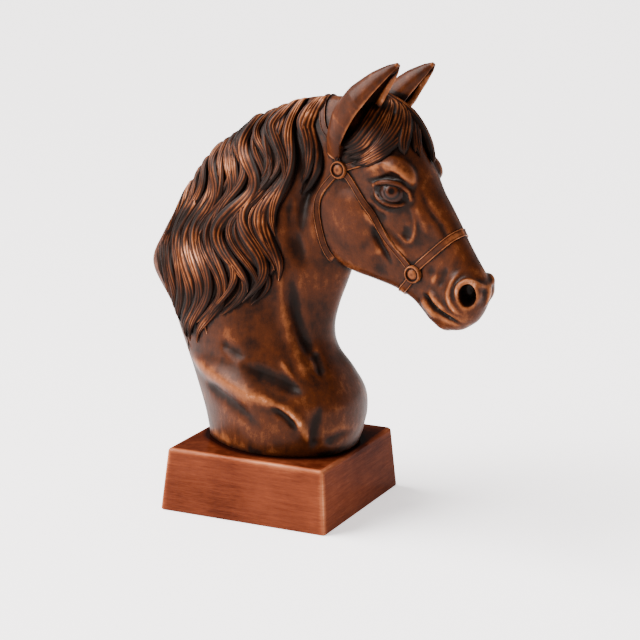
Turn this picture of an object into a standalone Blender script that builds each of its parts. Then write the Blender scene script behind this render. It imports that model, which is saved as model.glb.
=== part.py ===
# Horse head bust on a square plinth, carved in wood.
# Metres, +Z up. The origin is the middle of the plinth's underside.
# The horse looks towards +X and turns its head a little to its right, which is -Y.
import math

import bmesh
import bpy
import numpy as np
from mathutils import Matrix, Vector
from mathutils.bvhtree import BVHTree

# driving dimensions
BUST_HEIGHT = 0.2584
PLINTH_HEIGHT = 0.042
SEAM = 0.0003
PLINTH_LEDGE = 0.0043
PLINTH_FLARE = 0.0037
PLINTH_EDGE_RADIUS = 0.0026
PLINTH_FOOT_RADIUS = 0.0012

# The bust is a free form. Its drawing is in shares of its height, foot to ear tip,
# with the foot at level FOOT and x = 0 over the middle of the plinth.
DRAWN_HEIGHT = 258.4
SHARE = BUST_HEIGHT / DRAWN_HEIGHT
FOOT = 42.3
SEAT = PLINTH_HEIGHT + SEAM
FOOT_HALF_LENGTH = 52

# head pose: turned about an upright line at TURN_AT, with the forehead line falling forward
TURN_AT = 60.0
HEAD_TURN = 12.0
HEAD_FALL = 55.0
POLL = (76.2, 276.1)

# detail of the solid
VOXEL = 1.25 * SHARE
BUST_TRIANGLES = 9300
# passes and strength of the smoothing, before the carving and after the details are joined
CARVING_EASE = (10, 0.5)
DETAIL_EASE = (1, 0.4)
SHARP_ANGLE = 50.0
LOCK_SIDES = 10
LOCK_STEPS = 26
MANE_SEED = 7

# Rays that look for the surface start this far out to the side.
RAY_START = 95.0

# Depths at which the half widths of a section are given, from its upper edge to its lower one.
LEVELS = (0.06, 0.25, 0.5, 0.75, 0.94)

# head sections: place along the forehead line, upper edge, lower edge, half widths
HEAD = (
    (-10, -14, -44, (6, 11, 12, 11, 7)),
    (3, -5, -60, (8, 15, 17, 17, 12)),
    (15, 1, -74, (10, 18, 19, 19.5, 15)),
    (28, 3, -84, (11.5, 20, 19.5, 21, 17)),
    (42, 2, -90, (12, 21, 19.5, 22, 18)),
    (56, 1.5, -92, (12.5, 20.5, 18.5, 21.5, 18)),
    (68, 0.5, -90, (11.2, 17.5, 17.5, 19.5, 16.5)),
    (80, 0.8, -84, (10, 14.5, 16, 16.5, 13.5)),
    (92, 0.6, -73, (9, 12.3, 14, 13.5, 10.5)),
    (104, 0, -62, (8.2, 11.2, 12.5, 12, 8.5)),
    (116, 0, -54, (7.6, 11.5, 12.5, 11.5, 8)),
    (126, 0.5, -51, (7, 12.5, 13.5, 12, 8)),
    (134, -1.5, -49, (7, 12.5, 13, 11.5, 8)),
    (141, -6.5, -45, (6.5, 11, 11.5, 10, 6.5)),
    (146.5, -14, -39, (4.5, 8, 8.5, 7.5, 4.5)),
    (149.5, -20.5, -33, (2, 3.5, 4, 3.5, 2)),
)

# neck sections: point on the crest, point on the throat, turn in degrees, half widths
NECK = (
    ((-50, 36), (FOOT_HALF_LENGTH, 36), 0, (18, 34, 43, 38, 24)),
    ((-50, 42.3), (FOOT_HALF_LENGTH, 42.3), 0, (18, 34, 43, 38, 24)),
    ((-54, 58), (57, 58), 0, (17, 35, 45, 40, 25)),
    ((-60, 76), (57, 76), 0, (17, 35, 45, 41, 25)),
    ((-66, 92), (50, 92), 0, (16, 32, 41, 36, 20)),
    ((-72.5, 108), (39, 107), 0, (15, 29, 37, 31, 17)),
    ((-81, 127), (36.5, 121), 0, (13, 26, 34, 29, 15)),
    ((-97, 152), (40, 137), 0, (8, 22, 31, 27, 14)),
    ((-88.5, 174.5), (45, 151), 0, (8, 20, 28, 25, 14)),
    ((-76.5, 196), (49, 163), 1, (8, 18, 26, 23, 13)),
    ((-60.5, 220.5), (50, 176), 2, (8, 17, 23, 22, 13)),
    ((-39, 242), (50, 187), 3.5, (8, 16, 21, 20, 12)),
    ((-16, 259), (52, 196), 6, (8, 15, 19, 18, 11)),
    ((11, 270), (56, 203), 9, (8, 14, 17, 16, 10)),
    ((36, 273.5), (64, 210), 11, (7, 13, 16, 15, 10)),
    ((54, 272), (74, 222), 12, (5, 10, 13, 12, 7)),
)

# rounded masses on each side of the head: place, distance out, radii, tilt in degrees
MASSES = (
    (49, -62, 13.0, (29, 28, 9.5), 0),
    (44.5, -10.8, 15.6, (15, 9.5, 9.0), 26),
    (70, -21, 9.5, (22, 7, 7), -14),
    (131, -11, 7.0, (10.5, 9.5, 8.0), 0),
    (138, -22, 4.0, (8.5, 9, 8.0), 0),
)
CHIN = (135, -40, (11, 8, 9.5))

# Strokes carve the surface: points of the path, radius, and height (above 0 raises).
HEAD_STROKES = (
    # brow ridge over the eye, its wrinkle, the crease under it, and the temple behind it
    (((34, -36), (34.7, -24), (37, -15.5), (42.7, -9), (50, -5.2), (58, -4)), 4.4, 1.5),
    (((43, -14.5), (47, -9.5), (51, -6)), 1.9, -1.5),
    (((38.5, -33), (42.5, -25.5), (45.5, -16), (51.5, -8.7), (59.2, -6.4)), 2.3, -1.7),
    (((28, -40), (24, -32), (22, -22), (26, -12)), 6, -1.8),
    # fold and hollows under the eye
    (((47.5, -31), (53.5, -31), (59, -27.5), (64.5, -21.5), (67, -16)), 1.5, 0.9),
    (((47, -34.5), (54, -34), (61, -30), (67, -23.5)), 1.7, -1.5),
    (((50, -39), (60, -38), (68, -32)), 5.0, -1.3),
    # cheek bone
    (((52, -46), (66, -43), (84, -38), (97, -36)), 4, 1.4),
    # tear line down the face, and the hollow inside it
    (((64.7, -14.5), (71.8, -15.2), (80, -19.2), (85.3, -24.6), (85.8, -30), (79, -32), (69, -34.7)),
     1.6, 1.3),
    (((76, -22), (81, -26.5), (78, -29.5)), 3.4, -1.8),
    # side of the nasal bone
    (((58, -4), (75, -6.5), (90.6, -5), (108, -7)), 2.8, -0.9),
    (((66, -11), (76, -13), (90, -15)), 4, 0.9),
    # dark cut in front of the cheek muscle, and the hollows beyond it
    (((63, -44), (72.3, -47.3), (81, -48.2), (94, -48.6)), 3.4, -2.6),
    (((80, -51), (88, -57), (93, -64)), 6.5, -1.4),
    (((106, -30), (110, -24), (115, -18)), 4, -1.5),
    # folds of the muzzle and the lips
    (((110, -14), (116, -19), (121, -27)), 2.6, -1.4),
    (((108, -19), (113, -24), (117, -31)), 2.4, 1.1),
    (((118, -4), (121, -13), (127, -21), (136, -23.5), (144, -20)), 3.2, 1.7),
    (((116, -34), (127, -32), (137, -28)), 3.2, 1.4),
    (((118, -43), (128, -42), (138, -38)), 3.2, 1.4),
)
MOUTH = ((117, -39.5), (121, -38), (128, -37.1), (135.9, -33.6), (141.9, -29.4), (147.5, -25.6))
CHEEK_CREASE = ((10, -52), (17, -66), (28, -81), (42, -92), (56, -98), (70, -98))
NOSTRIL = (135.2, -10.2)
NOSTRIL_TILT = -38.0
NOSTRIL_HALF = (8.2, 5.9)
NOSTRIL_DEPTH = 12.0
# the raised rim lies this far outside the nostril, with this radius and height
NOSTRIL_RIM = (1.6, 2.8, 1.9)
# radius and height of the cuts made one after the other along the same line
CREASE_CUTS = ((6.5, -5.0), (3.0, -1.6))
MOUTH_CUTS = ((2.0, -3.2), (1.3, -3.0))

NECK_STROKES = (
    # furrow of the throat and the muscle beside it
    (((17, 164), (19, 138), (25, 117), (35, 100)), 6, -3.4),
    (((30, 110), (35, 102), (40, 92)), 4.2, -2.2),
    (((10, 168), (12, 138), (19, 114), (29, 97), (36, 88)), 4, 2.2),
    # folds behind the jaw
    (((20, 214), (18, 204), (20, 188), (26, 170), (36, 156)), 2.6, 1.7),
    (((15, 212), (13, 200), (15, 184), (21, 166)), 2.6, -1.6),
    (((25, 212), (24, 202), (26, 188), (32, 172)), 2.2, -1.6),
    # shoulder
    (((-66, 97), (-44, 93), (-21, 87.5), (1, 82), (18, 77.5)), 8, 3.6),
    (((-12, 84.5), (1, 82), (18, 77.5), (31, 68), (37, 54), (37, 46)), 4.6, 3.0),
    (((-14, 100), (6, 95), (22, 90), (34, 84)), 8, -3.8),
    (((12, 106), (22, 95), (33, 86)), 2.6, 2.0),
    (((12, 77.5), (24, 70), (31, 60)), 3.6, -2.2),
    (((-44, 82), (-30, 78.5), (-10, 71), (8, 60)), 7, -2.0),
    (((-30, 113), (-20, 109), (-8, 103)), 5, -1.2),
    # chest
    (((43.5, 80), (41, 66), (38.5, 54), (38, 46)), 5.2, -2.4),
    (((45, 50), (50, 55), (56, 57)), 5.0, -1.4),
)

# eye: its corners on the head, eyeball, and in the plane of the eye the iris and the lines of the lids
EYE_REAR = (44.5, -28.4)
EYE_FRONT = (64.6, -11.9)
EYEBALL_RADIUS = 9.6
EYEBALL_DEPTH = 5.6
IRIS = (1.3, 2.2)
IRIS_RADIUS = 4.6
UPPER_LID = ((-13.6, -0.5), (-8.9, 3.6), (-3, 6.6), (4.8, 7.4), (10.3, 4.4), (13.8, -0.8))
LOWER_LID = ((-13.6, -0.5), (-10, -4.6), (-3.7, -6.8), (3.3, -6.8), (9, -4.8), (13.8, -0.8))
# line of the lid, its radius, and how far it stands out
LIDS = ((UPPER_LID, 1.7, 0.9), (LOWER_LID, 1.3, 0.1))

# ear: bent middle line (forward, up), distance out along it, and its half width along it
EAR_LINE = ((45, 237), (52, 251), (62, 267), (77, 284), (94.5, 300.0))
EAR_OUT = ((0, 12), (0.25, 17), (0.6, 20), (1, 19.5))
EAR_HALF = ((0, 8.5), (0.18, 10.5), (0.42, 13.2), (0.64, 12.2), (0.82, 8.4), (0.94, 4.6), (1, 1.6))
EAR_FAR_DROP = 3.2
EAR_WALL = 2.5
EAR_REACH = 128.0
EAR_OPENS_OUT = 6.0

# mane: crest of the neck, level of the tips, and swing of the waves, by the place on the crest
CREST = ((-97, 152), (-89, 174.5), (-77, 196.5), (-61, 221), (-39, 242.5), (-16, 259.2), (10.8, 270.6),
         (35.5, 274))
HEM = ((-90, 152), (-75, 132), (-60, 109), (-50, 110), (-34, 116), (-20, 133), (-5, 142), (8, 162), (13, 178),
       (17, 222), (22, 214), (34, 216))
SWING = ((-92, 2), (-68, 4), (-53, 6), (-38, 9), (-20, 12), (-5, 10), (8, 7), (20, 5), (34, 5))
WAVE = 66.0
# the mane's straight back edge: place and level of its upper end, and slope below it
MANE_BACK = (-91.5, 152.0, 0.45)
BARE = (13.5, 20.0)
# rows of locks: first and last place on the crest, step, lift off the neck, width, share of the full length
ROWS = (
    (34, -76, 6.2, 0.8, 9.0, 1.04),
    (31, -75, 6.2, 2.6, 8.6, 1.0),
    (28, -70, 9.4, 3.6, 6.4, 0.52),
)

LOCK_FLATNESS = 0.66
LOCK_SINK = 4.0

# forelock: first and last strand of each tuft as (along, above, out), then count, width and lift
TUFTS = (
    (((-14, -14, 2), (-4, -8, 0), (5, -8.9, -9.6), (12.5, -18.6, -17.6), (13.8, -28.1, -18.8),
      (11, -40, -18.7)),
     ((-12, -4, 5), (5, 1, 4), (17.2, 1.1, -3), (26.5, -1.1, -9.9), (31.5, -10.7, -17.2), (31, -25, -20.7),
      (25, -37, -20.3)), 10, 6.4, 2.6),
    (((-12, -4, 5), (9.5, 0, 2), (22.7, 1, -5.2), (31, -1.5, -10), (38, -3.4, -12.3)),
     ((-12, -2, 6), (9.9, 2, 5), (19.6, 2, 4.1), (31.7, 2.8, -1.7), (43, 1.4, -4.2)), 4, 6.0, 2.6),
    (((-12, -2, 6), (9.5, 2, 5.3), (21.4, 3.6, 6.7), (32.2, 1.4, 7.6), (41.9, 0.1, 7.1), (49, 0.2, 3.6)),
     ((-12, -4, 9), (8, 0, 13), (18, 0, 16.5), (28, 0, 18), (36, -3, 18), (42, -6, 17)), 5, 6.5, 3.6),
)

# bridle
UPPER_ROSETTE = (23.7, -46.8)
LOWER_ROSETTE = (104.4, -38.0)
CHEEK_STRAP = (UPPER_ROSETTE, (31, -43.5), (48, -42.2), (66, -41), (80.5, -40.5), (93.4, -39.1),
               LOWER_ROSETTE)
THROAT_STRAP = (UPPER_ROSETTE, (25.9, -56.8), (28.5, -67), (35.7, -75.3), (44, -81.2), (53, -85.6), (61, -88))
BROW_STRAP = ((23.7, -46.8, -22), (26, -37, -20), (28, -27, -21), (28, -14, -20), (26, -3, -13), (25, 3, 0))
CROWN_STRAP = ((23.7, -46.8, -22), (19, -44.7, -20), (12, -43.6, -19), (3.7, -44, -17.5), (-5, -46, -15),
               (-13, -45, -11), (-20, -43, -5), (-22, -42, 0))
# noseband: how far along the head it lies, by the height above the forehead line
NOSEBAND = ((-56, 108.5), (-46, 107.5), (-38, 104.4), (-32, 101.8), (-17.6, 99.8), (-5, 97.8), (4, 96.5))
# level of the middle of the nose; the noseband is looked for from twice as far away
NOSE_MIDDLE = -30.0
STRAP_SINK = 2.5
STRAP_LIFT = 0.4
STRAP_WIDTH = 4.2
STRAP_THICKNESS = 1.8
NOSEBAND_WIDTH = 5.0
ROSETTE_RADIUS = 5.6
ROSETTE_PROFILE = ((0.02, 1.9), (0.32, 1.8), (0.5, 1.1), (0.68, 1.1), (0.8, 2.3), (0.92, 2.3), (1.0, 1.5),
                   (1.0, -1.5), (0.02, -1.5))

CARVED_COLOUR = (0.105, 0.042, 0.018, 1.0)
PLINTH_COLOUR = (0.190, 0.052, 0.022, 1.0)


def to_world(points):
    """Drawing shares to metres, with the foot on its seat."""
    return (np.asarray(points, float) - (0, 0, FOOT)) * SHARE + (0, 0, SEAT)


def to_drawing(points):
    return (np.asarray(points, float) - (0, 0, SEAT)) / SHARE + (0, 0, FOOT)


def turned(forward, side, up, turn):
    """A point of the drawing, turned about the upright line at TURN_AT."""
    a = np.radians(turn)
    x = TURN_AT + (forward - TURN_AT) * np.cos(a) + side * np.sin(a)
    y = -(forward - TURN_AT) * np.sin(a) + side * np.cos(a)
    return np.stack(np.broadcast_arrays(x, y, up), -1)


def head_point(along, above, side):
    """A point of the head: along the forehead line, above it, and to the horse's left."""
    a = math.radians(HEAD_FALL)
    forward = POLL[0] + along * math.cos(a) + above * math.sin(a)
    up = POLL[1] - along * math.sin(a) + above * math.cos(a)
    return turned(forward, side, up, HEAD_TURN)


def head_place(point):
    """The (along, above, out) of a point of the drawing."""
    along, above, out = head_axes()
    offset = point - head_point(0, 0, 0)
    return offset @ along, offset @ above, offset @ out


def head_axes():
    origin = head_point(0, 0, 0)
    return [head_point(*p) - origin for p in ((1, 0, 0), (0, 1, 0), (0, 0, 1))]


def unit(v):
    return v / (np.linalg.norm(v, axis=-1, keepdims=True) + 1e-12)


def smooth_curve(points, count, closed=False):
    """Points evenly spaced in parameter along a smooth curve through the given ones."""
    p = np.asarray(points, float)
    n = len(p)
    if closed:
        t = np.linspace(0, n, count, endpoint=False)
        i = np.floor(t).astype(int)
        a, b, c, d = (p[(i + k) % n] for k in (-1, 0, 1, 2))
    else:
        p = np.concatenate([[2 * p[0] - p[1]], p, [2 * p[-1] - p[-2]]])
        t = np.linspace(0, n - 1, count)
        i = np.minimum(np.floor(t).astype(int), n - 2)
        a, b, c, d = (p[i + k] for k in (0, 1, 2, 3))
    u = (t - i).reshape((-1,) + (1,) * (p.ndim - 1))
    return 0.5 * (2 * b + (c - a) * u + (2 * a - 5 * b + 4 * c - d) * u**2 + (3 * b - a - 3 * c + d) * u**3)


def level(table, x):
    t = np.array(table, float)
    return float(np.interp(x, t[:, 0], t[:, 1]))


def ease(values, times=3):
    """Averages each point of a path with its neighbours, ends kept."""
    values = values.copy()
    for _ in range(times):
        values[1:-1] = 0.25 * values[:-2] + 0.5 * values[1:-1] + 0.25 * values[2:]
    return values


def new_object(name, mesh, collection):
    obj = bpy.data.objects.new(name, mesh)
    collection.objects.link(obj)
    return obj


def loft(rings, rows=None):
    """A closed solid through rings of equal length, as a bmesh in metres."""
    rings = np.asarray(rings, float)
    if rows:
        rings = smooth_curve(rings, rows)
    bm = bmesh.new()
    grid = [[bm.verts.new(p) for p in to_world(ring)] for ring in rings]
    for lower, upper in zip(grid, grid[1:]):
        for j in range(len(lower)):
            k = (j + 1) % len(lower)
            bm.faces.new((lower[j], lower[k], upper[k], upper[j]))
    for ring in (grid[0], grid[-1]):
        middle = bm.verts.new(sum((v.co for v in ring), Vector()) / len(ring))
        for j in range(len(ring)):
            bm.faces.new((ring[j], ring[(j + 1) % len(ring)], middle))
    bmesh.ops.recalc_face_normals(bm, faces=bm.faces)
    return bm


def section(upper, lower, widths, count=48):
    """A closed outline of (side, height) points, the same on both sides."""
    right = [(w, upper + (lower - upper) * q) for w, q in zip(widths, LEVELS)]
    left = [(-w, h) for w, h in reversed(right)]
    return smooth_curve([(0, upper)] + right + [(0, lower)] + left, count, closed=True)


def head_core():
    rings = []
    for along, upper, lower, widths in HEAD:
        outline = section(upper, lower, widths)
        rings.append(head_point(along, outline[:, 1], outline[:, 0]))
    return loft(rings, 90)


def neck_core():
    rings = []
    for crest, throat, turn, widths in NECK:
        outline = section(0.0, 1.0, widths)
        forward = crest[0] + (throat[0] - crest[0]) * outline[:, 1]
        up = crest[1] + (throat[1] - crest[1]) * outline[:, 1]
        rings.append(turned(forward, outline[:, 0], up, turn))
    return loft(rings, 90)


def ellipsoid(middle, axes, radii):
    bm = bmesh.new()
    bmesh.ops.create_icosphere(bm, subdivisions=3, radius=1.0)
    place = Matrix([[axes[j][i] * radii[j] * SHARE for j in range(3)] for i in range(3)]).to_4x4()
    place.translation = Vector(to_world(middle))
    bmesh.ops.transform(bm, matrix=place, verts=bm.verts)
    return bm


def head_masses():
    along, above, out = head_axes()
    bodies = [ellipsoid(head_point(CHIN[0], CHIN[1], 0), (along, above, out), CHIN[2])]
    for h, d, s, radii, tilt in MASSES:
        a = math.radians(tilt)
        first = along * math.cos(a) + above * math.sin(a)
        second = above * math.cos(a) - along * math.sin(a)
        bodies += [ellipsoid(head_point(h, d, s * side), (first, second, out), radii) for side in (-1, 1)]
    return bodies


def gather(name, bodies, collection):
    """One object that holds all these bodies."""
    total = bmesh.new()
    for bm in bodies:
        mesh = bpy.data.meshes.new("body")
        bm.to_mesh(mesh)
        bm.free()
        total.from_mesh(mesh)
        bpy.data.meshes.remove(mesh)
    mesh = bpy.data.meshes.new(name)
    total.to_mesh(mesh)
    total.free()
    return new_object(name, mesh, collection)


def apply_modifiers(obj):
    graph = bpy.context.evaluated_depsgraph_get()
    mesh = bpy.data.meshes.new_from_object(obj.evaluated_get(graph))
    obj.modifiers.clear()
    old = obj.data
    obj.data = mesh
    bpy.data.meshes.remove(old)


def fuse(obj, smoothing, factor):
    """Joins overlapping bodies into one skin and eases the joins."""
    remesh = obj.modifiers.new("fuse", "REMESH")
    remesh.mode = "VOXEL"
    remesh.voxel_size = VOXEL
    smooth = obj.modifiers.new("ease", "SMOOTH")
    smooth.iterations = smoothing
    smooth.factor = factor
    apply_modifiers(obj)


def read_vectors(collection, name, count):
    values = np.empty(count * 3, np.float32)
    collection.foreach_get(name, values)
    return values.reshape(-1, 3).astype(float)


def points_of(obj):
    return to_drawing(read_vectors(obj.data.vertices, "co", len(obj.data.vertices)))


def move_points(obj, points):
    obj.data.vertices.foreach_set("co", to_world(points).astype(np.float32).ravel())
    obj.data.update()


def surface_of(obj):
    bm = bmesh.new()
    bm.from_mesh(obj.data)
    tree = BVHTree.FromBMesh(bm)
    bm.free()
    return tree


def shoot(tree, start, target):
    """The first surface point from start towards target, and its normal. Without one, the target itself."""
    hit = tree.ray_cast(Vector(to_world(start)), Vector(target - start))
    if hit[0] is None:
        return target, unit(start - target)
    return to_drawing(hit[0]), np.array(hit[1])


def on_head(tree, along, above, side):
    return shoot(tree, head_point(along, above, RAY_START * side), head_point(along, above, 0))


def on_neck(tree, forward, up, side):
    return shoot(tree, np.array((forward, RAY_START * side, up)), np.array((forward, 0.0, up)))


def drawn_path(tree, place, points, side, steps=7):
    flat = smooth_curve(points, (len(points) - 1) * steps + 1)
    return np.array([place(tree, *p, side)[0] for p in flat])


def path_distance(points, path):
    """Distance of each point from the path, and how far along it that is, from 0 to 1."""
    nearest = np.full(len(points), np.inf)
    where = np.zeros(len(points))
    for i, (a, b) in enumerate(zip(path, path[1:])):
        step = b - a
        t = np.clip((points - a) @ step / max(step @ step, 1e-12), 0, 1)
        distance = np.linalg.norm(points - a - t[:, None] * step, axis=1)
        closer = distance < nearest
        nearest[closer] = distance[closer]
        where[closer] = (i + t[closer]) / (len(path) - 1)
    return nearest, where


def carve(obj, path, radius, height, fade_ends=True):
    """Raises or lowers the surface along a path, fading at both ends."""
    points = points_of(obj)
    normals = read_vectors(obj.data.vertex_normals, "vector", len(points))
    inside = (points > path.min(0) - 1.6 * radius) & (points < path.max(0) + 1.6 * radius)
    near = np.nonzero(inside.all(1))[0]
    distance, where = path_distance(points[near], path)
    fade = np.clip(np.minimum(where, 1 - where) / 0.32, 0, 1) if fade_ends else 1.0
    fade = fade * fade * (3 - 2 * fade)
    weight = np.exp(-2.0 * (distance / (radius * (0.55 + 0.45 * fade))) ** 2) * fade
    points[near] += normals[near] * (weight * height)[:, None]
    move_points(obj, points)


def press(obj, middle, direction, depth, long, half_long, half_short):
    """Pushes an oval pit into the surface along a direction."""
    points = points_of(obj)
    direction = unit(direction)
    offset = points - middle
    along = offset @ direction
    flat = offset - along[:, None] * direction
    first = flat @ long
    second = np.linalg.norm(flat - first[:, None] * long, axis=1)
    share = np.hypot(first / half_long, second / half_short)
    weight = np.clip(1 - share**4, 0, 1) * (np.abs(along) < half_long * 1.5)
    move_points(obj, points + direction * (weight * depth)[:, None])


def tilted(degrees):
    """The head's axes along and above, turned in the head's side plane."""
    a = math.radians(degrees)
    along, above, _ = head_axes()
    return along * math.cos(a) + above * math.sin(a), above * math.cos(a) - along * math.sin(a)


def carve_head(obj):
    tree = surface_of(obj)
    strokes = [(on_head,) + s for s in HEAD_STROKES] + [(on_neck,) + s for s in NECK_STROKES]
    for place, points, radius, height in strokes:
        for side in (-1, 1):
            carve(obj, drawn_path(tree, place, points, side), radius, height)
    for radius, height in CREASE_CUTS:
        tree = surface_of(obj)
        for side in (-1, 1):
            carve(obj, drawn_path(tree, on_head, CHEEK_CREASE, side), radius, height)
    tree = surface_of(obj)
    along, above, out = head_axes()
    for side in (-1, 1):
        for radius, height in MOUTH_CUTS:
            carve(obj, drawn_path(tree, on_head, MOUTH, side), radius, height)
        middle, _ = on_head(tree, *NOSTRIL, side)
        rim_out, rim_radius, rim_height = NOSTRIL_RIM
        rim = []
        for t in np.linspace(-0.25 * math.pi, 1.35 * math.pi, 21):
            a = math.radians(NOSTRIL_TILT)
            x = -math.sin(t) * (NOSTRIL_HALF[0] + rim_out)
            y = -math.cos(t) * (NOSTRIL_HALF[1] + rim_out)
            h, d = x * math.cos(a) - y * math.sin(a), x * math.sin(a) + y * math.cos(a)
            rim.append(on_head(tree, NOSTRIL[0] + h, NOSTRIL[1] + d, side)[0])
        carve(obj, np.array(rim), rim_radius, rim_height)
        long, _ = tilted(NOSTRIL_TILT)
        press(obj, middle, -out * side - along * 0.45 - above * 0.1, NOSTRIL_DEPTH, long, *NOSTRIL_HALF)


def tube(path, half_widths, half_heights, ups, sides, sink=0.0):
    """A closed tube with oval rings square to the path, its lower side sunk deeper."""
    forward = unit(np.gradient(path, axis=0))
    across = unit(np.cross(forward, ups))
    ups = np.cross(across, forward)
    angle = np.linspace(0, 2 * math.pi, sides, endpoint=False)
    c, s = np.cos(angle), np.sin(angle)
    wide = np.asarray(half_widths)[:, None, None] * c[None, :, None]
    high = np.asarray(half_heights)[:, None, None] * s[None, :, None]
    high = high - sink * np.clip(-s, 0, 1)[None, :, None]
    return loft(path[:, None, :] + across[:, None, :] * wide + ups[:, None, :] * high)


def eye_frame(tree, side):
    """Middle of the eye on the head, and its axes: to its front corner, up, and out."""
    rear, normal_1 = on_head(tree, *EYE_REAR, side)
    front, normal_2 = on_head(tree, *EYE_FRONT, side)
    long = unit(front - rear)
    out = normal_1 + normal_2
    out = unit(out - long * (out @ long))
    up = np.cross(long, out) * side
    middle = (front + rear) / 2
    hit = tree.ray_cast(Vector(to_world(middle + out * 20)), Vector(-out))
    return to_drawing(hit[0]), long, up, out


def lid_height(x, y):
    """How far out the lids lie over a place in the plane of the eye."""
    return math.sqrt(max(EYEBALL_RADIUS**2 - (x * 0.8) ** 2 - (y * 0.8) ** 2, 9.0)) - EYEBALL_DEPTH


def eye(tree, side):
    """Eyeball and lids of one eye."""
    middle, long, up, out = eye_frame(tree, side)
    bodies = [ellipsoid(middle - out * EYEBALL_DEPTH, (long, up, out), [EYEBALL_RADIUS] * 3)]
    for line, radius, rise in LIDS:
        flat = smooth_curve(line, 21)
        path = np.array([middle + long * x + up * y + out * (lid_height(x, y) + rise) for x, y in flat])
        size = radius * (0.5 + 0.5 * np.sin(np.linspace(0, math.pi, 21)) ** 0.5)
        bodies.append(tube(path, size, size, np.tile(out, (21, 1)), 10))
    return bodies


def ear_outline(half, share):
    """One ring of the ear as (towards the opening, across) points: a wall bent round a hollow."""
    hollow = np.interp(share, (0.0, 0.2, 0.36, 0.85, 1.0), (0.0, 0.15, 0.95, 1.0, 0.3))
    reach = math.radians(EAR_REACH)
    wall = min(EAR_WALL, half * 0.45)
    rim = -math.cos(reach) * half * 0.95
    ring = [(-math.cos(q) * half * 0.95, math.sin(q) * half) for q in np.linspace(-reach, reach, 25)]
    for q in np.linspace(reach, -reach, 15)[1:-1]:
        flat = rim + half * 0.25 * math.cos(q / reach * math.pi / 2)
        depth = -math.cos(q) * (half - wall) * 0.95
        ring.append((flat + (depth - flat) * hollow, math.sin(q) * (half - wall * (0.4 + 0.6 * hollow))))
    return ring


def ear(side):
    """A pricked ear: a cup, open to the front, along a bent line."""
    line = smooth_curve(EAR_LINE, 40)
    forward = unit(np.gradient(line, axis=0))
    turn = math.radians(EAR_OPENS_OUT) * side
    rings = []
    for i, (f, z) in enumerate(line):
        share = i / (len(line) - 1)
        z -= EAR_FAR_DROP * share * max(0, side)
        front = np.array((forward[i, 1], 0.0, -forward[i, 0]))
        left = np.array((0.0, 1.0, 0.0))
        opening = front * math.cos(turn) + left * math.sin(turn)
        across = left * math.cos(turn) - front * math.sin(turn)
        middle = np.array((f, level(EAR_OUT, share) * side, z))
        outline = ear_outline(level(EAR_HALF, share), share)
        ring = np.array([middle + opening * u + across * v for u, v in outline])
        rings.append(turned(ring[:, 0], ring[:, 1], ring[:, 2], HEAD_TURN))
    return loft(rings)


def lock_path(tree, start, tip, swing, shift, lift):
    """A lock of the mane: it leaves the crest and hangs down the near side in waves."""
    top = level(CREST, start)
    points = [np.array((start + 1.5, 4.0, top - 3.0)), np.array((start + 0.5, 0.0, top - 0.8))]
    normals = [np.array((0.0, 0.5, 0.8)), np.array((0.0, 0.0, 1.0))]
    for t in np.linspace(0, 1, LOCK_STEPS):
        z = top - 3.0 + (tip - top + 3.0) * t
        grow = min(1.0, t * 3.5)
        x = start - 5 * grow + swing * grow * math.cos(2 * math.pi * (z - 226 - 0.35 * start - shift) / WAVE)
        x = max(x, MANE_BACK[0] + (MANE_BACK[1] - min(z, MANE_BACK[1])) * MANE_BACK[2])
        point, normal = on_neck(tree, x, z, -1)
        if point[1] > 2 or abs(normal[1]) < 0.05:
            point, normal = np.array((x, -2.0, z)), np.array((0.0, -0.7, 0.7))
        points.append(point + normal * lift * min(1.0, 0.15 + 3.5 * t))
        normals.append(np.array((0.0, -1.0, 0.12 + 1.4 * max(0.0, 1 - 8 * t))))
    return ease(np.array(points)), ease(np.array(normals))


def lock(path, ups, width):
    """A lock of hair: thin where it starts, pointed at its tip."""
    places, shares = (0, 0.06, 0.28, 0.7, 0.9, 1), (0.3, 0.6, 1, 0.95, 0.6, 0.08)
    size = 0.5 * np.interp(np.linspace(0, 1, len(path)), places, shares)
    return tube(path, width * size, LOCK_FLATNESS * width * size, ups, LOCK_SIDES, LOCK_SINK)


def mane(tree):
    chance = np.random.default_rng(MANE_SEED)
    bodies = []
    for first, last, step, lift, width, share in ROWS:
        x = first
        while x > last:
            size = width * chance.uniform(0.7, 1.3)
            x -= step * size / width
            if BARE[0] < x < BARE[1]:
                continue
            top = level(CREST, x)
            tip = top + (level(HEM, x) - top) * share * chance.uniform(0.9, 1.05)
            swing = level(SWING, x) * chance.uniform(0.8, 1.2)
            rise = lift * chance.uniform(0.7, 1.3)
            path, ups = lock_path(tree, x, tip, swing, chance.uniform(-7, 7), rise)
            bodies.append(lock(path, ups, size))
    return bodies


def settled_path(tree, points, count, lift):
    """A smooth path through guesses on the head, laid on the nearest surface and raised by lift."""
    path, ups = [], []
    for guess in smooth_curve(points, count):
        hit = tree.find_nearest(Vector(to_world(head_point(*guess))))
        path.append(to_drawing(hit[0]) + np.array(hit[1]) * lift * (1 - 0.7 * len(path) / count))
        ups.append(np.array(hit[1]))
    return ease(np.array(path)), ease(np.array(ups))


def forelock(tree):
    bodies = []
    for first, last, count, width, lift in TUFTS:
        start, end = smooth_curve(first, 12), smooth_curve(last, 12)
        for i in range(count):
            guesses = start + (end - start) * (i / (count - 1))
            guesses[:, 0] += 1.6 * math.sin(2.2 * i) * np.sin(np.linspace(0, 2 * math.pi, 12))
            guesses = guesses[:12 - (5 * i) % 3]
            path, ups = settled_path(tree, guesses, LOCK_STEPS, lift + 0.7 * math.cos(2.6 * i))
            bodies.append(lock(path, ups, width))
    return bodies


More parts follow.
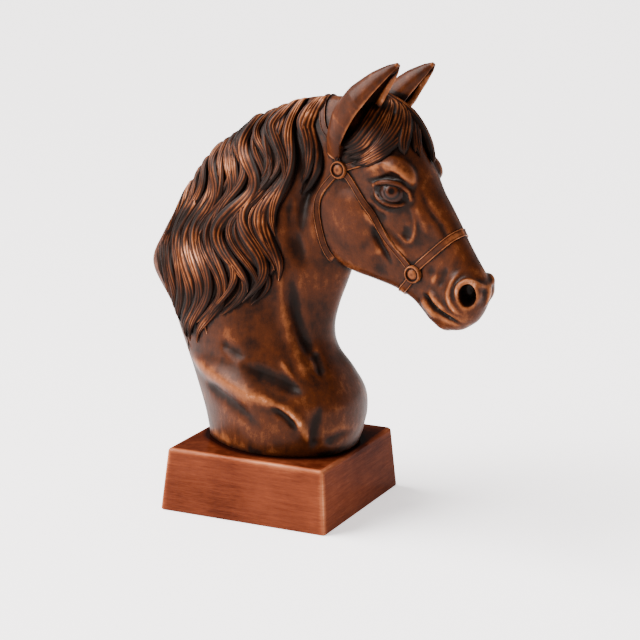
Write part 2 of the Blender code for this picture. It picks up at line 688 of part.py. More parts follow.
def strap(path, ups, width):
    """A flat band with eased upper edges along a path."""
    across = unit(np.cross(unit(np.gradient(path, axis=0)), ups))
    w, t = width / 2, STRAP_THICKNESS / 2
    low = -t - STRAP_SINK
    profile = ((w, low), (w, 0.5 * t), (0.86 * w, t), (-0.86 * w, t), (-w, 0.5 * t), (-w, low))
    return loft(np.stack([path + across * a + ups * b for a, b in profile], 1))


def noseband(tree, count=64):
    """A strap once round the nose, found by shooting towards the middle of the head."""
    path, ups = [], []
    for turn in np.linspace(0, 2 * math.pi, count):
        side, above = 2 * abs(NOSE_MIDDLE) * math.sin(turn), 2 * abs(NOSE_MIDDLE) * math.cos(turn)
        along = LOWER_ROSETTE[0]
        for _ in range(3):
            start = head_point(along, NOSE_MIDDLE + above, side)
            point, normal = shoot(tree, start, head_point(along, NOSE_MIDDLE, 0))
            along = level(NOSEBAND, head_place(point)[1])
        path.append(point)
        ups.append(normal)
    path, ups = ease(np.array(path)), ease(np.array(ups))
    return strap(path + ups * STRAP_LIFT, unit(ups), NOSEBAND_WIDTH)


def rosette(tree, place, side):
    middle, normal = on_head(tree, *place, side)
    first = unit(np.cross(normal, head_axes()[0]))
    second = np.cross(normal, first)
    rings = []
    for share, height in ROSETTE_PROFILE:
        turn = np.linspace(0, 2 * math.pi, 24, endpoint=False)[:, None]
        spoke = first * np.cos(turn) + second * np.sin(turn)
        rings.append(middle + spoke * share * ROSETTE_RADIUS + normal * height)
    return loft(rings)


def bridle(tree):
    bodies = [noseband(tree)]
    for side in (-1, 1):
        for points in (CHEEK_STRAP, THROAT_STRAP):
            hits = [on_head(tree, h, d, side) for h, d in smooth_curve(points, 40)]
            path = np.array([p + n * STRAP_LIFT for p, n in hits])
            bodies.append(strap(path, np.array([n for _, n in hits]), STRAP_WIDTH))
        for points in (BROW_STRAP, CROWN_STRAP):
            path, ups = settled_path(tree, [(h, d, -s * side) for h, d, s in points], 36, STRAP_LIFT)
            bodies.append(strap(path, ups, STRAP_WIDTH))
        bodies += [rosette(tree, UPPER_ROSETTE, side), rosette(tree, LOWER_ROSETTE, side)]
    return bodies


def keep_largest_body(bm):
    """Removes all but the body with the most vertices."""
    left, bodies = set(bm.verts), []
    while left:
        body, edge = set(), [next(iter(left))]
        while edge:
            vert = edge.pop()
            if vert in body:
                continue
            body.add(vert)
            edge.extend(e.other_vert(vert) for e in vert.link_edges)
        bodies.append(body)
        left -= body
    for body in sorted(bodies, key=len)[:-1]:
        bmesh.ops.delete(bm, geom=list(body), context="VERTS")


def cut_flat(obj):
    """Cuts the foot flat at its seat and closes it with one face."""
    bm = bmesh.new()
    bm.from_mesh(obj.data)
    geometry = bm.verts[:] + bm.edges[:] + bm.faces[:]
    bmesh.ops.bisect_plane(bm, geom=geometry, plane_co=(0, 0, SEAT), plane_no=(0, 0, 1), clear_inner=True)
    bmesh.ops.remove_doubles(bm, verts=bm.verts, dist=1e-5)
    bmesh.ops.holes_fill(bm, edges=[e for e in bm.edges if e.is_boundary], sides=0)
    keep_largest_body(bm)
    bmesh.ops.triangulate(bm, faces=bm.faces)
    bmesh.ops.recalc_face_normals(bm, faces=bm.faces)
    bm.to_mesh(obj.data)
    bm.free()


def thin_out(obj, triangles):
    mesh = obj.data
    mesh.calc_loop_triangles()
    decimate = obj.modifiers.new("facets", "DECIMATE")
    decimate.ratio = min(1.0, triangles / len(mesh.loop_triangles))
    decimate.use_collapse_triangulate = True
    apply_modifiers(obj)


def make_bust(collection):
    """Head, neck, mane, forelock and bridle, carved from one piece."""
    obj = gather("horse_bust", [head_core(), neck_core()] + head_masses(), collection)
    fuse(obj, *CARVING_EASE)
    carve_head(obj)
    tree = surface_of(obj)
    body = bmesh.new()
    body.from_mesh(obj.data)
    bpy.data.objects.remove(obj)
    details = mane(tree) + forelock(tree) + bridle(tree)
    for side in (-1, 1):
        details += eye(tree, side) + [ear(side)]
    obj = gather("horse_bust", [body] + details, collection)
    fuse(obj, *DETAIL_EASE)
    thin_out(obj, BUST_TRIANGLES)
    cut_flat(obj)
    return obj


def make_plinth(collection):
    """A square plinth that narrows upwards, its top a ledge wider than the foot."""
    top = FOOT_HALF_LENGTH * SHARE + PLINTH_LEDGE
    bm = bmesh.new()
    bmesh.ops.create_cube(bm, size=2.0)
    for vert in bm.verts:
        half = top if vert.co.z > 0 else top + PLINTH_FLARE
        vert.co = (half * vert.co.x, half * vert.co.y, PLINTH_HEIGHT if vert.co.z > 0 else 0.0)
    low = [e for e in bm.edges if all(v.co.z < PLINTH_HEIGHT / 2 for v in e.verts)]
    high = [e for e in bm.edges if e not in low]
    bmesh.ops.bevel(bm, geom=high, offset=PLINTH_EDGE_RADIUS, segments=4, profile=0.5, affect="EDGES")
    low = [e for e in bm.edges if all(v.co.z < 1e-6 for v in e.verts)]
    bmesh.ops.bevel(bm, geom=low, offset=PLINTH_FOOT_RADIUS, segments=2, profile=0.5, affect="EDGES")
    mesh = bpy.data.meshes.new("plinth")
    bm.to_mesh(mesh)
    bm.free()
    return new_object("plinth", mesh, collection)


def finish_object(obj, material_name, colour, roughness):
    material = bpy.data.materials.new(material_name)
    material.use_nodes = True
    shader = material.node_tree.nodes["Principled BSDF"]
    shader.inputs["Base Color"].default_value = colour
    shader.inputs["Roughness"].default_value = roughness
    shader.inputs["Metallic"].default_value = 0.0
    obj.data.materials.clear()
    obj.data.materials.append(material)
    obj.data.shade_smooth()
    obj.data.set_sharp_from_angle(angle=math.radians(SHARP_ANGLE))


def main():
    for obj in list(bpy.data.objects):
        bpy.data.objects.remove(obj)
    collection = bpy.data.collections.new("Horse head sculpture")
    bpy.context.scene.collection.children.link(collection)
    finish_object(make_bust(collection), "Carved wood", CARVED_COLOUR, 0.42)
    finish_object(make_plinth(collection), "Lacquered wood", PLINTH_COLOUR, 0.3)


main()
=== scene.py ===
import math

import bmesh
import bpy
import numpy as np
from mathutils import Matrix, Vector
from mathutils.bvhtree import BVHTree


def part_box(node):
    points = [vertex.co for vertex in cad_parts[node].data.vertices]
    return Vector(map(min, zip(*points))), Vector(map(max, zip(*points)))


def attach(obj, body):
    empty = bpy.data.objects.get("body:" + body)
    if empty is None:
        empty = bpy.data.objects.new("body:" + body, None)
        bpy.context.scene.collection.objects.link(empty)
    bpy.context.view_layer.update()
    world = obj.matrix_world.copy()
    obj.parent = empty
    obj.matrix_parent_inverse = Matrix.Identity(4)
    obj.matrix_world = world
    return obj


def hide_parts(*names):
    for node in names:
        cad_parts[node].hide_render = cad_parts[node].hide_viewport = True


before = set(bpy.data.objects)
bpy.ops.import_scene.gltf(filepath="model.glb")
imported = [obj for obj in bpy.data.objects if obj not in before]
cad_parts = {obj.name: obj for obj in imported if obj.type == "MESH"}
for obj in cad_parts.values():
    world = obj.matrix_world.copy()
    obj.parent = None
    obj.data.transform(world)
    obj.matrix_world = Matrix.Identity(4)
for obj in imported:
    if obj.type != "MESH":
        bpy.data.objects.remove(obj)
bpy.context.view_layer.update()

bl_info = {
    "name": "Carved horse head",
    "version": (1, 0, 0),
    "blender": (4, 5, 0),
    "location": "3D View > Sidebar > Horse head",
    "description": "Dresses a horse head bust on a square plinth with carved hair, bridle and wood finishes",
    "category": "Object",
}

BUST_LOW, BUST_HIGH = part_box("horse_bust")
PLINTH_LOW, PLINTH_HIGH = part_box("plinth")

# The bust is drawn in shares of its height, foot to ear tip, with its foot at level FOOT.
DRAWN_HEIGHT = 258.4
SHARE = (BUST_HIGH[2] - BUST_LOW[2]) / DRAWN_HEIGHT
FOOT = 42.3
SEAT = BUST_LOW[2]
FOOT_HALF_LENGTH = 52

# head pose: turned about an upright line at TURN_AT, with the forehead line falling forward
TURN_AT = 60.0
HEAD_TURN = 12.0
HEAD_FALL = 55.0
POLL = (76.2, 276.1)

# Depths at which the half widths of a section are given, from its upper edge to its lower one.
LEVELS = (0.06, 0.25, 0.5, 0.75, 0.94)

# head sections: place along the forehead line, upper edge, lower edge, half widths
HEAD = (
    (-10, -14, -44, (6, 11, 12, 11, 7)),
    (3, -5, -60, (8, 15, 17, 17, 12)),
    (15, 1, -74, (10, 18, 19, 19.5, 15)),
    (28, 3, -84, (11.5, 20, 19.5, 21, 17)),
    (42, 2, -90, (12, 21, 19.5, 22, 18)),
    (56, 1.5, -92, (12.5, 20.5, 18.5, 21.5, 18)),
    (68, 0.5, -90, (11.2, 17.5, 17.5, 19.5, 16.5)),
    (80, 0.8, -84, (10, 14.5, 16, 16.5, 13.5)),
    (92, 0.6, -73, (9, 12.3, 14, 13.5, 10.5)),
    (104, 0, -62, (8.2, 11.2, 12.5, 12, 8.5)),
    (116, 0, -54, (7.6, 11.5, 12.5, 11.5, 8)),
    (126, 0.5, -51, (7, 12.5, 13.5, 12, 8)),
    (134, -1.5, -49, (7, 12.5, 13, 11.5, 8)),
    (141, -6.5, -45, (6.5, 11, 11.5, 10, 6.5)),
    (146.5, -14, -39, (4.5, 8, 8.5, 7.5, 4.5)),
    (149.5, -20.5, -33, (2, 3.5, 4, 3.5, 2)),
)

# neck sections: point on the crest, point on the throat, turn in degrees, half widths
NECK = (
    ((-50, 36), (FOOT_HALF_LENGTH, 36), 0, (18, 34, 43, 38, 24)),
    ((-50, 42.3), (FOOT_HALF_LENGTH, 42.3), 0, (18, 34, 43, 38, 24)),
    ((-54, 58), (57, 58), 0, (17, 35, 45, 40, 25)),
    ((-60, 76), (57, 76), 0, (17, 35, 45, 41, 25)),
    ((-66, 92), (50, 92), 0, (16, 32, 41, 36, 20)),
    ((-72.5, 108), (39, 107), 0, (15, 29, 37, 31, 17)),
    ((-81, 127), (36.5, 121), 0, (13, 26, 34, 29, 15)),
    ((-97, 152), (40, 137), 0, (8, 22, 31, 27, 14)),
    ((-88.5, 174.5), (45, 151), 0, (8, 20, 28, 25, 14)),
    ((-76.5, 196), (49, 163), 1, (8, 18, 26, 23, 13)),
    ((-60.5, 220.5), (50, 176), 2, (8, 17, 23, 22, 13)),
    ((-39, 242), (50, 187), 3.5, (8, 16, 21, 20, 12)),
    ((-16, 259), (52, 196), 6, (8, 15, 19, 18, 11)),
    ((11, 270), (56, 203), 9, (8, 14, 17, 16, 10)),
    ((36, 273.5), (64, 210), 11, (7, 13, 16, 15, 10)),
    ((54, 272), (74, 222), 12, (5, 10, 13, 12, 7)),
)

# rounded masses on each side of the head: place, distance out, radii, tilt in degrees
MASSES = (
    (49, -62, 13.0, (29, 28, 9.5), 0),
    (44.5, -10.8, 14.8, (14.5, 8.6, 7.0), 26),
    (70, -21, 9.5, (22, 7, 7), -14),
    (131, -11, 7.0, (10.5, 9.5, 8.0), 0),
    (138, -22, 4.0, (8.5, 9, 8.0), 0),
)
CHIN = (135, -40, (11, 8, 9.5))

# how far from the middle plane the rays start that find the skin of the head and of the neck
HEAD_RAYS = 70
NECK_RAYS = 95.0
# a drawn path gets this many steps between two points, and is eased this many times
DRAWN_STEPS = 7
DRAWN_EASE = 5
# a stroke fades over this share of its path at both ends, where it is this much narrower
STROKE_FADE = 0.32
STROKE_NARROWS = 0.45

# Strokes carve the surface: points of the path, radius, and height (above 0 raises).
HEAD_STROKES = (
    # brow ridge over the eye, its wrinkle, the crease under it, and the temple behind it
    (((34, -36), (34.7, -24), (37, -15.5), (42.7, -9), (50, -5.2), (58, -4)), 4.4, 1.5),
    (((43, -14.5), (47, -9.5), (51, -6)), 1.9, -1.5),
    (((38.5, -33), (42.5, -25.5), (45.5, -16), (51.5, -8.7), (59.2, -6.4)), 2.3, -1.7),
    (((28, -40), (24, -32), (22, -22), (26, -12)), 6, -1.8),
    # fold and hollows under the eye
    (((47.5, -31), (53.5, -31), (59, -27.5), (64.5, -21.5), (67, -16)), 1.5, 0.9),
    (((47, -34.5), (54, -34), (61, -30), (67, -23.5)), 1.7, -1.5),
    (((50, -39), (60, -38), (68, -32)), 5.0, -1.3),
    # cheek bone
    (((52, -46), (66, -43), (84, -38), (97, -36)), 4, 1.4),
    # tear line down the face, and the hollow inside it
    (((64.7, -14.5), (71.8, -15.2), (80, -19.2), (85.3, -24.6), (85.8, -30), (79, -32), (69, -34.7)),
     1.7, 0.8),
    (((76, -22), (81, -26.5), (78, -29.5)), 4.4, -0.9),
    # side of the nasal bone
    (((58, -4), (75, -6.5), (90.6, -5), (108, -7)), 2.8, -0.9),
    (((66, -11), (76, -13), (90, -15)), 4, 0.9),
    # dark cut in front of the cheek muscle, and the hollows beyond it
    (((63, -44), (72.3, -47.3), (81, -48.2), (94, -48.6)), 3.4, -2.6),
    (((80, -51), (88, -57), (93, -64)), 7.5, -0.8),
    (((106, -30), (110, -24), (115, -18)), 4.5, -0.7),
    # folds of the muzzle and the lips
    (((110, -14), (116, -19), (121, -27)), 3.2, -0.8),
    (((108, -19), (113, -24), (117, -31)), 3.0, 0.8),
    (((118, -4), (121, -13), (127, -21), (136, -23.5), (144, -20)), 3.2, 1.7),
    (((116, -34), (127, -32), (137, -28)), 3.2, 1.4),
    (((118, -43), (128, -42), (138, -38)), 3.2, 1.4),
)
MOUTH = ((117, -39.5), (121, -38), (128, -37.1), (135.9, -33.6), (141.9, -29.4), (147.5, -25.6))
CHEEK_CREASE = ((10, -52), (17, -66), (28, -81), (42, -92), (56, -98), (70, -98))
# cuts along the mouth and along the edge of the cheek: radius and height of each
MOUTH_CUTS = ((2.2, -3.8), (1.3, -3.0))
CREASE_CUTS = ((6.5, -5.0), (3.0, -1.6))
NOSTRIL = (135.2, -10.2)
NOSTRIL_TILT = -38.0
NOSTRIL_HALF = (8.2, 5.9)
NOSTRIL_DEPTH = 12.0
# rim of the nostril: how far outside the pit it runs, its radius, its height, and its ends in half turns
NOSTRIL_RIM = (1.6, 2.8, 1.9)
NOSTRIL_RIM_ENDS = (-0.25, 1.35)
# how far the pit leans back along the head and down, for one share inward
NOSTRIL_LEAN = (0.45, 0.1)

NECK_STROKES = (
    # furrow of the throat and the muscle beside it
    (((17, 164), (19, 138), (25, 117), (35, 100)), 6, -3.4),
    (((30, 110), (35, 102), (40, 92)), 4.2, -2.2),
    (((10, 168), (12, 138), (19, 114), (29, 97), (36, 88)), 6, 1.3),
    # folds behind the jaw
    (((20, 214), (18, 204), (20, 188), (26, 170), (36, 156)), 2.6, 1.7),
    (((15, 212), (13, 200), (15, 184), (21, 166)), 2.6, -1.6),
    (((25, 212), (24, 202), (26, 188), (32, 172)), 2.2, -1.6),
    # shoulder
    (((-66, 97), (-44, 93), (-21, 87.5), (1, 82), (18, 77.5)), 10, 3.8),
    (((-12, 84.5), (1, 82), (18, 77.5), (31, 68), (37, 54), (37, 46)), 5.2, 1.8),
    (((-14, 100), (6, 95), (22, 90), (34, 84)), 8, -3.8),
    (((12, 106), (22, 95), (33, 86)), 3.4, 1.2),
    (((12, 77.5), (24, 70), (31, 60)), 3.6, -2.2),
    (((-44, 82), (-30, 78.5), (-10, 71), (8, 60)), 7, -2.0),
    (((-30, 113), (-20, 109), (-8, 103)), 5, -1.2),
    # chest
    (((43.5, 80), (41, 66), (38.5, 54), (38, 46)), 5.2, -2.4),
    (((45, 50), (50, 55), (56, 57)), 5.0, -1.4),
)

# eye: its corners on the head, eyeball, and in the plane of the eye the iris and the lines of the lids
EYE_REAR = (44.5, -28.4)
EYE_FRONT = (64.6, -11.9)
EYEBALL_RADIUS = 9.6
EYEBALL_DEPTH = 5.6
IRIS = (1.3, 2.2)
IRIS_RADIUS = 4.6
UPPER_LID = ((-13.6, -0.5), (-8.9, 3.6), (-3, 6.6), (4.8, 7.4), (10.3, 4.4), (13.8, -0.8))
LOWER_LID = ((-13.6, -0.5), (-10, -4.6), (-3.7, -6.8), (3.3, -6.8), (9, -4.8), (13.8, -0.8))
# for each lid its line, radius, and rise over the eyeball
LIDS = ((UPPER_LID, 1.7, 0.9), (LOWER_LID, 1.3, 0.1))
LID_POINTS = 31
# the eyeball in the skin is this much smaller than the polished one
EYEBALL_SINK = 0.3
# polished eyeball: half widths of the pupil and of the groove round the iris as angles, and their depths
PUPIL = 0.2
PUPIL_DEPTH = 0.25
IRIS_EDGE = 0.07
IRIS_DEPTH = 0.22
# tone of the eyeball, and what its iris, the iris edge, the pupil and the painted shade on the part outside,
# under the lids, add to it
EYE_TONE = 0.36
IRIS_TONE = 0.10
IRIS_EDGE_TONE = -0.22
PUPIL_TONE = -0.45
OUTER_PAINTED_SHADE = -0.25
# half width of the dark iris edge, and where the outer painted shade starts and over what it grows, as angles
IRIS_EDGE_STAIN = 0.09
OUTER_START = 0.7
OUTER_FADE = 0.5

# ear: bent middle line (forward, up), distance out along it, and its half width along it
EAR_LINE = ((45, 237), (52, 251), (62, 267), (77, 284), (94.5, 300.0))
EAR_OUT = ((0, 12), (0.25, 17), (0.6, 20), (1, 19.5))
EAR_HALF = ((0, 8.5), (0.18, 10.5), (0.42, 13.2), (0.64, 12.2), (0.82, 8.4), (0.94, 4.6), (1, 1.6))
EAR_FAR_DROP = 3.2
EAR_WALL = 2.8
EAR_REACH = 128.0
EAR_OPENS_OUT = 6.0
# depth of the ear's cup, in half widths, and how far its hollow is open along the ear
EAR_CUP = 0.95
EAR_HOLLOW = ((0.0, 0.0), (0.2, 0.15), (0.36, 0.95), (0.85, 1.0), (1.0, 0.3))

# mane: crest of the neck, level of the tips, and swing of the waves, by the place on the crest
CREST = ((-97, 152), (-89, 174.5), (-77, 196.5), (-61, 221), (-39, 242.5), (-16, 259.2), (10.8, 270.6),
         (35.5, 274))
HEM = ((-90, 152), (-75, 132), (-60, 109), (-50, 110), (-34, 116), (-20, 133), (-5, 142), (8, 162), (13, 178),
       (17, 222), (22, 214), (34, 216))
SWING = ((-92, 2), (-68, 4), (-53, 6), (-38, 9), (-20, 12), (-5, 10), (8, 7), (20, 5), (34, 5))
WAVE = 66.0
# the mane's straight back edge: place and level of its upper end, and slope below it
MANE_BACK = (-91.5, 152.0, 0.45)
# the flat cut along the back of the mane: its turn from straight back, and how far back it lies by level
MANE_CUT_TURN = 24.6
MANE_CUT = ((106.7, -63.0), (132, -75.0), (158, -86.5), (179.5, -77.5), (201.5, -68.0), (225.7, -54.0),
            (254, -29.5))
BARE = (13.5, 20.0)
# rows of locks: first and last place on the crest, step, lift off the neck, width, share of the full length
ROWS = (
    (34, -76, 6.2, 0.8, 9.0, 1.04),
    (31, -75, 6.2, 2.6, 8.6, 1.0),
    (28, -70, 9.4, 3.6, 6.4, 0.52),
)
# ranges of chance for a lock's step, length, swing, lift and width as shares, and for the shift of its waves
LOCK_STEPS = (0.7, 1.3)
LOCK_LENGTHS = (0.9, 1.05)
LOCK_SWINGS = (0.8, 1.2)
LOCK_LIFTS = (0.7, 1.3)
LOCK_WIDTHS = (0.8, 1.4)
LOCK_SHIFTS = (-7, 7)

# forelock: first and last strand of each tuft as (along, above, out), then count, width and lift
TUFTS = (
    (((-14, -14, 2), (-4, -8, 0), (5, -8.9, -9.6), (12.5, -18.6, -17.6), (13.8, -28.1, -18.8),
      (11, -40, -18.7)),
     ((-12, -4, 5), (5, 1, 4), (17.2, 1.1, -3), (26.5, -1.1, -9.9), (31.5, -10.7, -17.2), (31, -25, -20.7),
      (25, -37, -20.3)), 10, 6.4, 2.6),
    (((-12, -4, 5), (9.5, 0, 2), (22.7, 1, -5.2), (31, -1.5, -10), (38, -3.4, -12.3)),
     ((-12, -2, 6), (9.9, 2, 5), (19.6, 2, 4.1), (31.7, 2.8, -1.7), (43, 1.4, -4.2)), 4, 6.0, 2.6),
    (((-12, -2, 6), (9.5, 2, 5.3), (21.4, 3.6, 6.7), (32.2, 1.4, 7.6), (41.9, 0.1, 7.1), (49, 0.2, 3.6)),
     ((-12, -4, 9), (8, 0, 13), (18, 0, 16.5), (28, 0, 18), (36, -3, 18), (42, -6, 17)), 5, 6.5, 3.6),
)

# a strand of the forelock is guessed at this many points and laid at this many, and waves this far sideways
STRAND_GUESSES = 12
STRAND_POINTS = 34
STRAND_WAVE = 2.6

# bridle
UPPER_ROSETTE = (23.7, -46.8)
LOWER_ROSETTE = (104.4, -38.0)
CHEEK_STRAP = (UPPER_ROSETTE, (31, -43.5), (48, -42.2), (66, -41), (80.5, -40.5), (93.4, -39.1),
               LOWER_ROSETTE)
# the throat strap runs on under the jaw, to its middle
THROAT_STRAP = ((23.7, -46.8, -22), (25.9, -56.8, -23), (28.5, -67, -23), (35.7, -75.3, -21),
                (44, -81.2, -19), (52, -86, -16), (59, -90.5, -10), (63, -93, -4), (64, -93.5, 0))
BROW_STRAP = ((23.7, -46.8, -22), (26, -37, -20), (28, -27, -21), (28, -14, -20), (26, -3, -13), (25, 3, 0))
CROWN_STRAP = ((23.7, -46.8, -22), (19, -44.7, -20), (12, -43.6, -19), (3.7, -44, -17.5), (-5, -46, -15),
               (-13, -45, -11), (-20, -43, -5), (-22, -42, 0))
# noseband: how far along the head it lies, by the height above the forehead line
NOSEBAND = ((-56, 108.5), (-46, 107.5), (-38, 104.4), (-32, 101.8), (-17.6, 99.8), (-5, 97.8), (4, 96.5))
# height inside the nose that the noseband goes round, and how far out its rays start
NOSEBAND_MIDDLE = -30
NOSEBAND_REACH = 60
# outline of a strap, from one border to its middle, in half widths and half thicknesses
STRAP_HALF = ((1.0, -1.0), (1.0, 0.55), (0.93, 1.0), (0.78, 1.0), (0.70, 0.62), (0.45, 0.70))
# profile of a button in radii and rim heights
BUTTON = ((0.02, 1.0), (0.35, 0.94), (0.56, 0.74), (0.66, 0.52), (0.74, 0.52), (0.82, 1.0), (0.93, 1.0),
          (1.0, 0.65), (1.0, -0.65), (0.02, -0.65))
# how far straps, noseband and buttons are raised, in thicknesses of the strap
STRAP_LIFT = 0.15
NOSEBAND_LIFT = 0.2
BUTTON_LIFT = 0.4
STRAP_POINTS = 70

# extra strokes of painted light: above 0 a painted highlight, below 0 painted shade
PAINTED_HIGHLIGHT_STROKES = (
    (((36, -26), (41, -18), (48, -12)), 5.0, 3.0),
    (((124, -3), (128, -2), (133, -6)), 4.0, 2.0),
)
# places of the colours along the tone, from the darkest, where stain and painted shade gather, to copper,
# where rubbing and painted highlights lighten it
WOOD_PLACES = {"hollow": 0.0, "dark": 0.25, "stain": 0.5, "brown": 0.75, "copper": 1.0}
PLINTH_PLACES = {"shadow": 0.0, "deep": 0.3, "red": 0.55, "warm": 0.8, "worn": 1.0}
SKY_RAYS = 18
# how far the near and the far sky rays reach in metres, and how both make up the openness, which darkens the
# tone as painted shade
SKY_REACHES = (0.010, 0.045)
SKY_SHARES = (1.1, 0.5, -0.9)
# painted light that a stroke leaves for each share of its height, a painted highlight where it raises and
# painted shade where it cuts, and the share of its path over which that fades
STROKE_PAINTED_LIGHT = 0.16
TONE_FADE = 0.25
# painted shade along the mouth and the edge of the cheek: radius and height
MOUTH_PAINTED_SHADE = (2.4, -6.0)
CREASE_PAINTED_SHADE = (5.0, -3.0)
# painted shade along the hem of the bust, where it stands on the plinth, and round each eye: tone and reach
# in shares
HEM_PAINTED_SHADE = (1.6, 3.0)
EYE_PAINTED_SHADE = (1.15, 13.5)
# plinth: reaches in metres of the worn edges and of the shade round the bust, and the shade on its top
WEAR_REACH = 0.0045
SHADE_REACH = 0.009
SHADE_SEARCH = 0.012
TOP_SHADE = 0.16
# for each piece, how many neighbours away its surroundings reach, and the rise of a full crest
CREST_SCALES = {"bust": (6, 0.28), "ears": (4, 0.2), "mane": (3, 0.25), "forelock": (3, 0.25),
                "bridle": (2, 0.15)}


def to_world(points):
    """Drawing shares to metres, with the foot on its seat."""
    return (np.asarray(points, float) - (0, 0, FOOT)) * SHARE + (0, 0, SEAT)


def to_drawing(points):
    return (np.asarray(points, float) - (0, 0, SEAT)) / SHARE + (0, 0, FOOT)


def turned(forward, side, up, turn):
    """A point of the drawing, turned about the upright line at TURN_AT."""
    a = np.radians(turn)
    x = TURN_AT + (forward - TURN_AT) * np.cos(a) + side * np.sin(a)
    y = -(forward - TURN_AT) * np.sin(a) + side * np.cos(a)
    return np.stack(np.broadcast_arrays(x, y, up), -1)


def head_point(along, above, side):
    """A point of the head: along the forehead line, above it, and to the horse's left."""
    a = math.radians(HEAD_FALL)
    forward = POLL[0] + along * math.cos(a) + above * math.sin(a)
    up = POLL[1] - along * math.sin(a) + above * math.cos(a)
    return turned(forward, side, up, HEAD_TURN)


def head_place(point):
    """The (along, above, out) of a point of the drawing."""
    along, above, out = head_axes()
    offset = point - head_point(0, 0, 0)
    return offset @ along, offset @ above, offset @ out


def head_axes():
    origin = head_point(0, 0, 0)
    return [head_point(*p) - origin for p in ((1, 0, 0), (0, 1, 0), (0, 0, 1))]


def unit(v):
    return v / (np.linalg.norm(v, axis=-1, keepdims=True) + 1e-12)


def smooth_curve(points, count, closed=False):
    """Points evenly spaced in parameter along a smooth curve through the given ones."""
    p = np.asarray(points, float)
    n = len(p)
    if closed:
        t = np.linspace(0, n, count, endpoint=False)
        i = np.floor(t).astype(int)
        a, b, c, d = (p[(i + k) % n] for k in (-1, 0, 1, 2))
    else:
        p = np.concatenate([[2 * p[0] - p[1]], p, [2 * p[-1] - p[-2]]])
        t = np.linspace(0, n - 1, count)
        i = np.minimum(np.floor(t).astype(int), n - 2)
        a, b, c, d = (p[i + k] for k in (0, 1, 2, 3))
    u = (t - i).reshape((-1,) + (1,) * (p.ndim - 1))
    return 0.5 * (2 * b + (c - a) * u + (2 * a - 5 * b + 4 * c - d) * u**2 + (3 * b - a - 3 * c + d) * u**3)


def level(table, x):
    t = np.array(table, float)
    return float(np.interp(x, t[:, 0], t[:, 1]))


def ease(values, times=3):
    """Averages each point of a path with its neighbours, ends kept."""
    values = values.copy()
    for _ in range(times):
        values[1:-1] = 0.25 * values[:-2] + 0.5 * values[1:-1] + 0.25 * values[2:]
    return values


def loft(rings, rows=None):
    """A closed solid through rings of equal length, as a bmesh in metres."""
    rings = np.asarray(rings, float)
    if rows:
        rings = smooth_curve(rings, rows)
    bm = bmesh.new()
    grid = [[bm.verts.new(p) for p in to_world(ring)] for ring in rings]
    for lower, upper in zip(grid, grid[1:]):
        for j in range(len(lower)):
            k = (j + 1) % len(lower)
            bm.faces.new((lower[j], lower[k], upper[k], upper[j]))
    for ring in (grid[0], grid[-1]):
        middle = bm.verts.new(sum((v.co for v in ring), Vector()) / len(ring))
        for j in range(len(ring)):
            bm.faces.new((ring[j], ring[(j + 1) % len(ring)], middle))
    bmesh.ops.recalc_face_normals(bm, faces=bm.faces)
    return bm


def section(upper, lower, widths, count=64):
    """A closed outline of (side, height) points, the same on both sides."""
    right = [(w, upper + (lower - upper) * q) for w, q in zip(widths, LEVELS)]
    left = [(-w, h) for w, h in reversed(right)]
    return smooth_curve([(0, upper)] + right + [(0, lower)] + left, count, closed=True)


def head_core():
    rings = []
    for along, upper, lower, widths in HEAD:
        outline = section(upper, lower, widths)
        rings.append(head_point(along, outline[:, 1], outline[:, 0]))
    return loft(rings, 120)


def neck_core():
    rings = []
    for crest, throat, turn, widths in NECK:
        outline = section(0.0, 1.0, widths)
        forward = crest[0] + (throat[0] - crest[0]) * outline[:, 1]
        up = crest[1] + (throat[1] - crest[1]) * outline[:, 1]
        rings.append(turned(forward, outline[:, 0], up, turn))
    return loft(rings, 120)


def ellipsoid(middle, axes, radii):
    bm = bmesh.new()
    bmesh.ops.create_icosphere(bm, subdivisions=4, radius=1.0)
    place = Matrix([[axes[j][i] * radii[j] * SHARE for j in range(3)] for i in range(3)]).to_4x4()
    place.translation = Vector(to_world(middle))
    bmesh.ops.transform(bm, matrix=place, verts=bm.verts)
    return bm


def head_masses():
    along, above, out = head_axes()
    bodies = [ellipsoid(head_point(CHIN[0], CHIN[1], 0), (along, above, out), CHIN[2])]
    for h, d, s, radii, tilt in MASSES:
        a = math.radians(tilt)
        first = along * math.cos(a) + above * math.sin(a)
        second = above * math.cos(a) - along * math.sin(a)
        bodies += [ellipsoid(head_point(h, d, s * side), (first, second, out), radii) for side in (-1, 1)]
    return bodies


def gather(name, bodies):
    """One object that holds all these bodies."""
    total = bmesh.new()
    for bm in bodies:
        mesh = bpy.data.meshes.new("body")
        bm.to_mesh(mesh)
        bm.free()
        total.from_mesh(mesh)
        bpy.data.meshes.remove(mesh)
    mesh = bpy.data.meshes.new(name)
    total.to_mesh(mesh)
    total.free()
    obj = bpy.data.objects.new(name, mesh)
    bpy.context.scene.collection.objects.link(obj)
    return obj


def apply_modifiers(obj):
    graph = bpy.context.evaluated_depsgraph_get()
    mesh = bpy.data.meshes.new_from_object(obj.evaluated_get(graph))
    obj.modifiers.clear()
    old = obj.data
    obj.data = mesh
    bpy.data.meshes.remove(old)


def fuse(obj, voxel, passes, strength):
    """Joins overlapping bodies into one skin and eases the joins."""
    remesh = obj.modifiers.new("fuse", "REMESH")
    remesh.mode = "VOXEL"
    remesh.voxel_size = voxel * SHARE
    smooth = obj.modifiers.new("ease", "SMOOTH")
    smooth.iterations = passes
    smooth.factor = strength
    apply_modifiers(obj)


def read_vectors(collection, name, count):
    values = np.empty(count * 3, np.float32)
    collection.foreach_get(name, values)
    return values.reshape(-1, 3).astype(float)


def points_of(obj):
    return to_drawing(read_vectors(obj.data.vertices, "co", len(obj.data.vertices)))


def normals_of(obj):
    return read_vectors(obj.data.vertex_normals, "vector", len(obj.data.vertices))


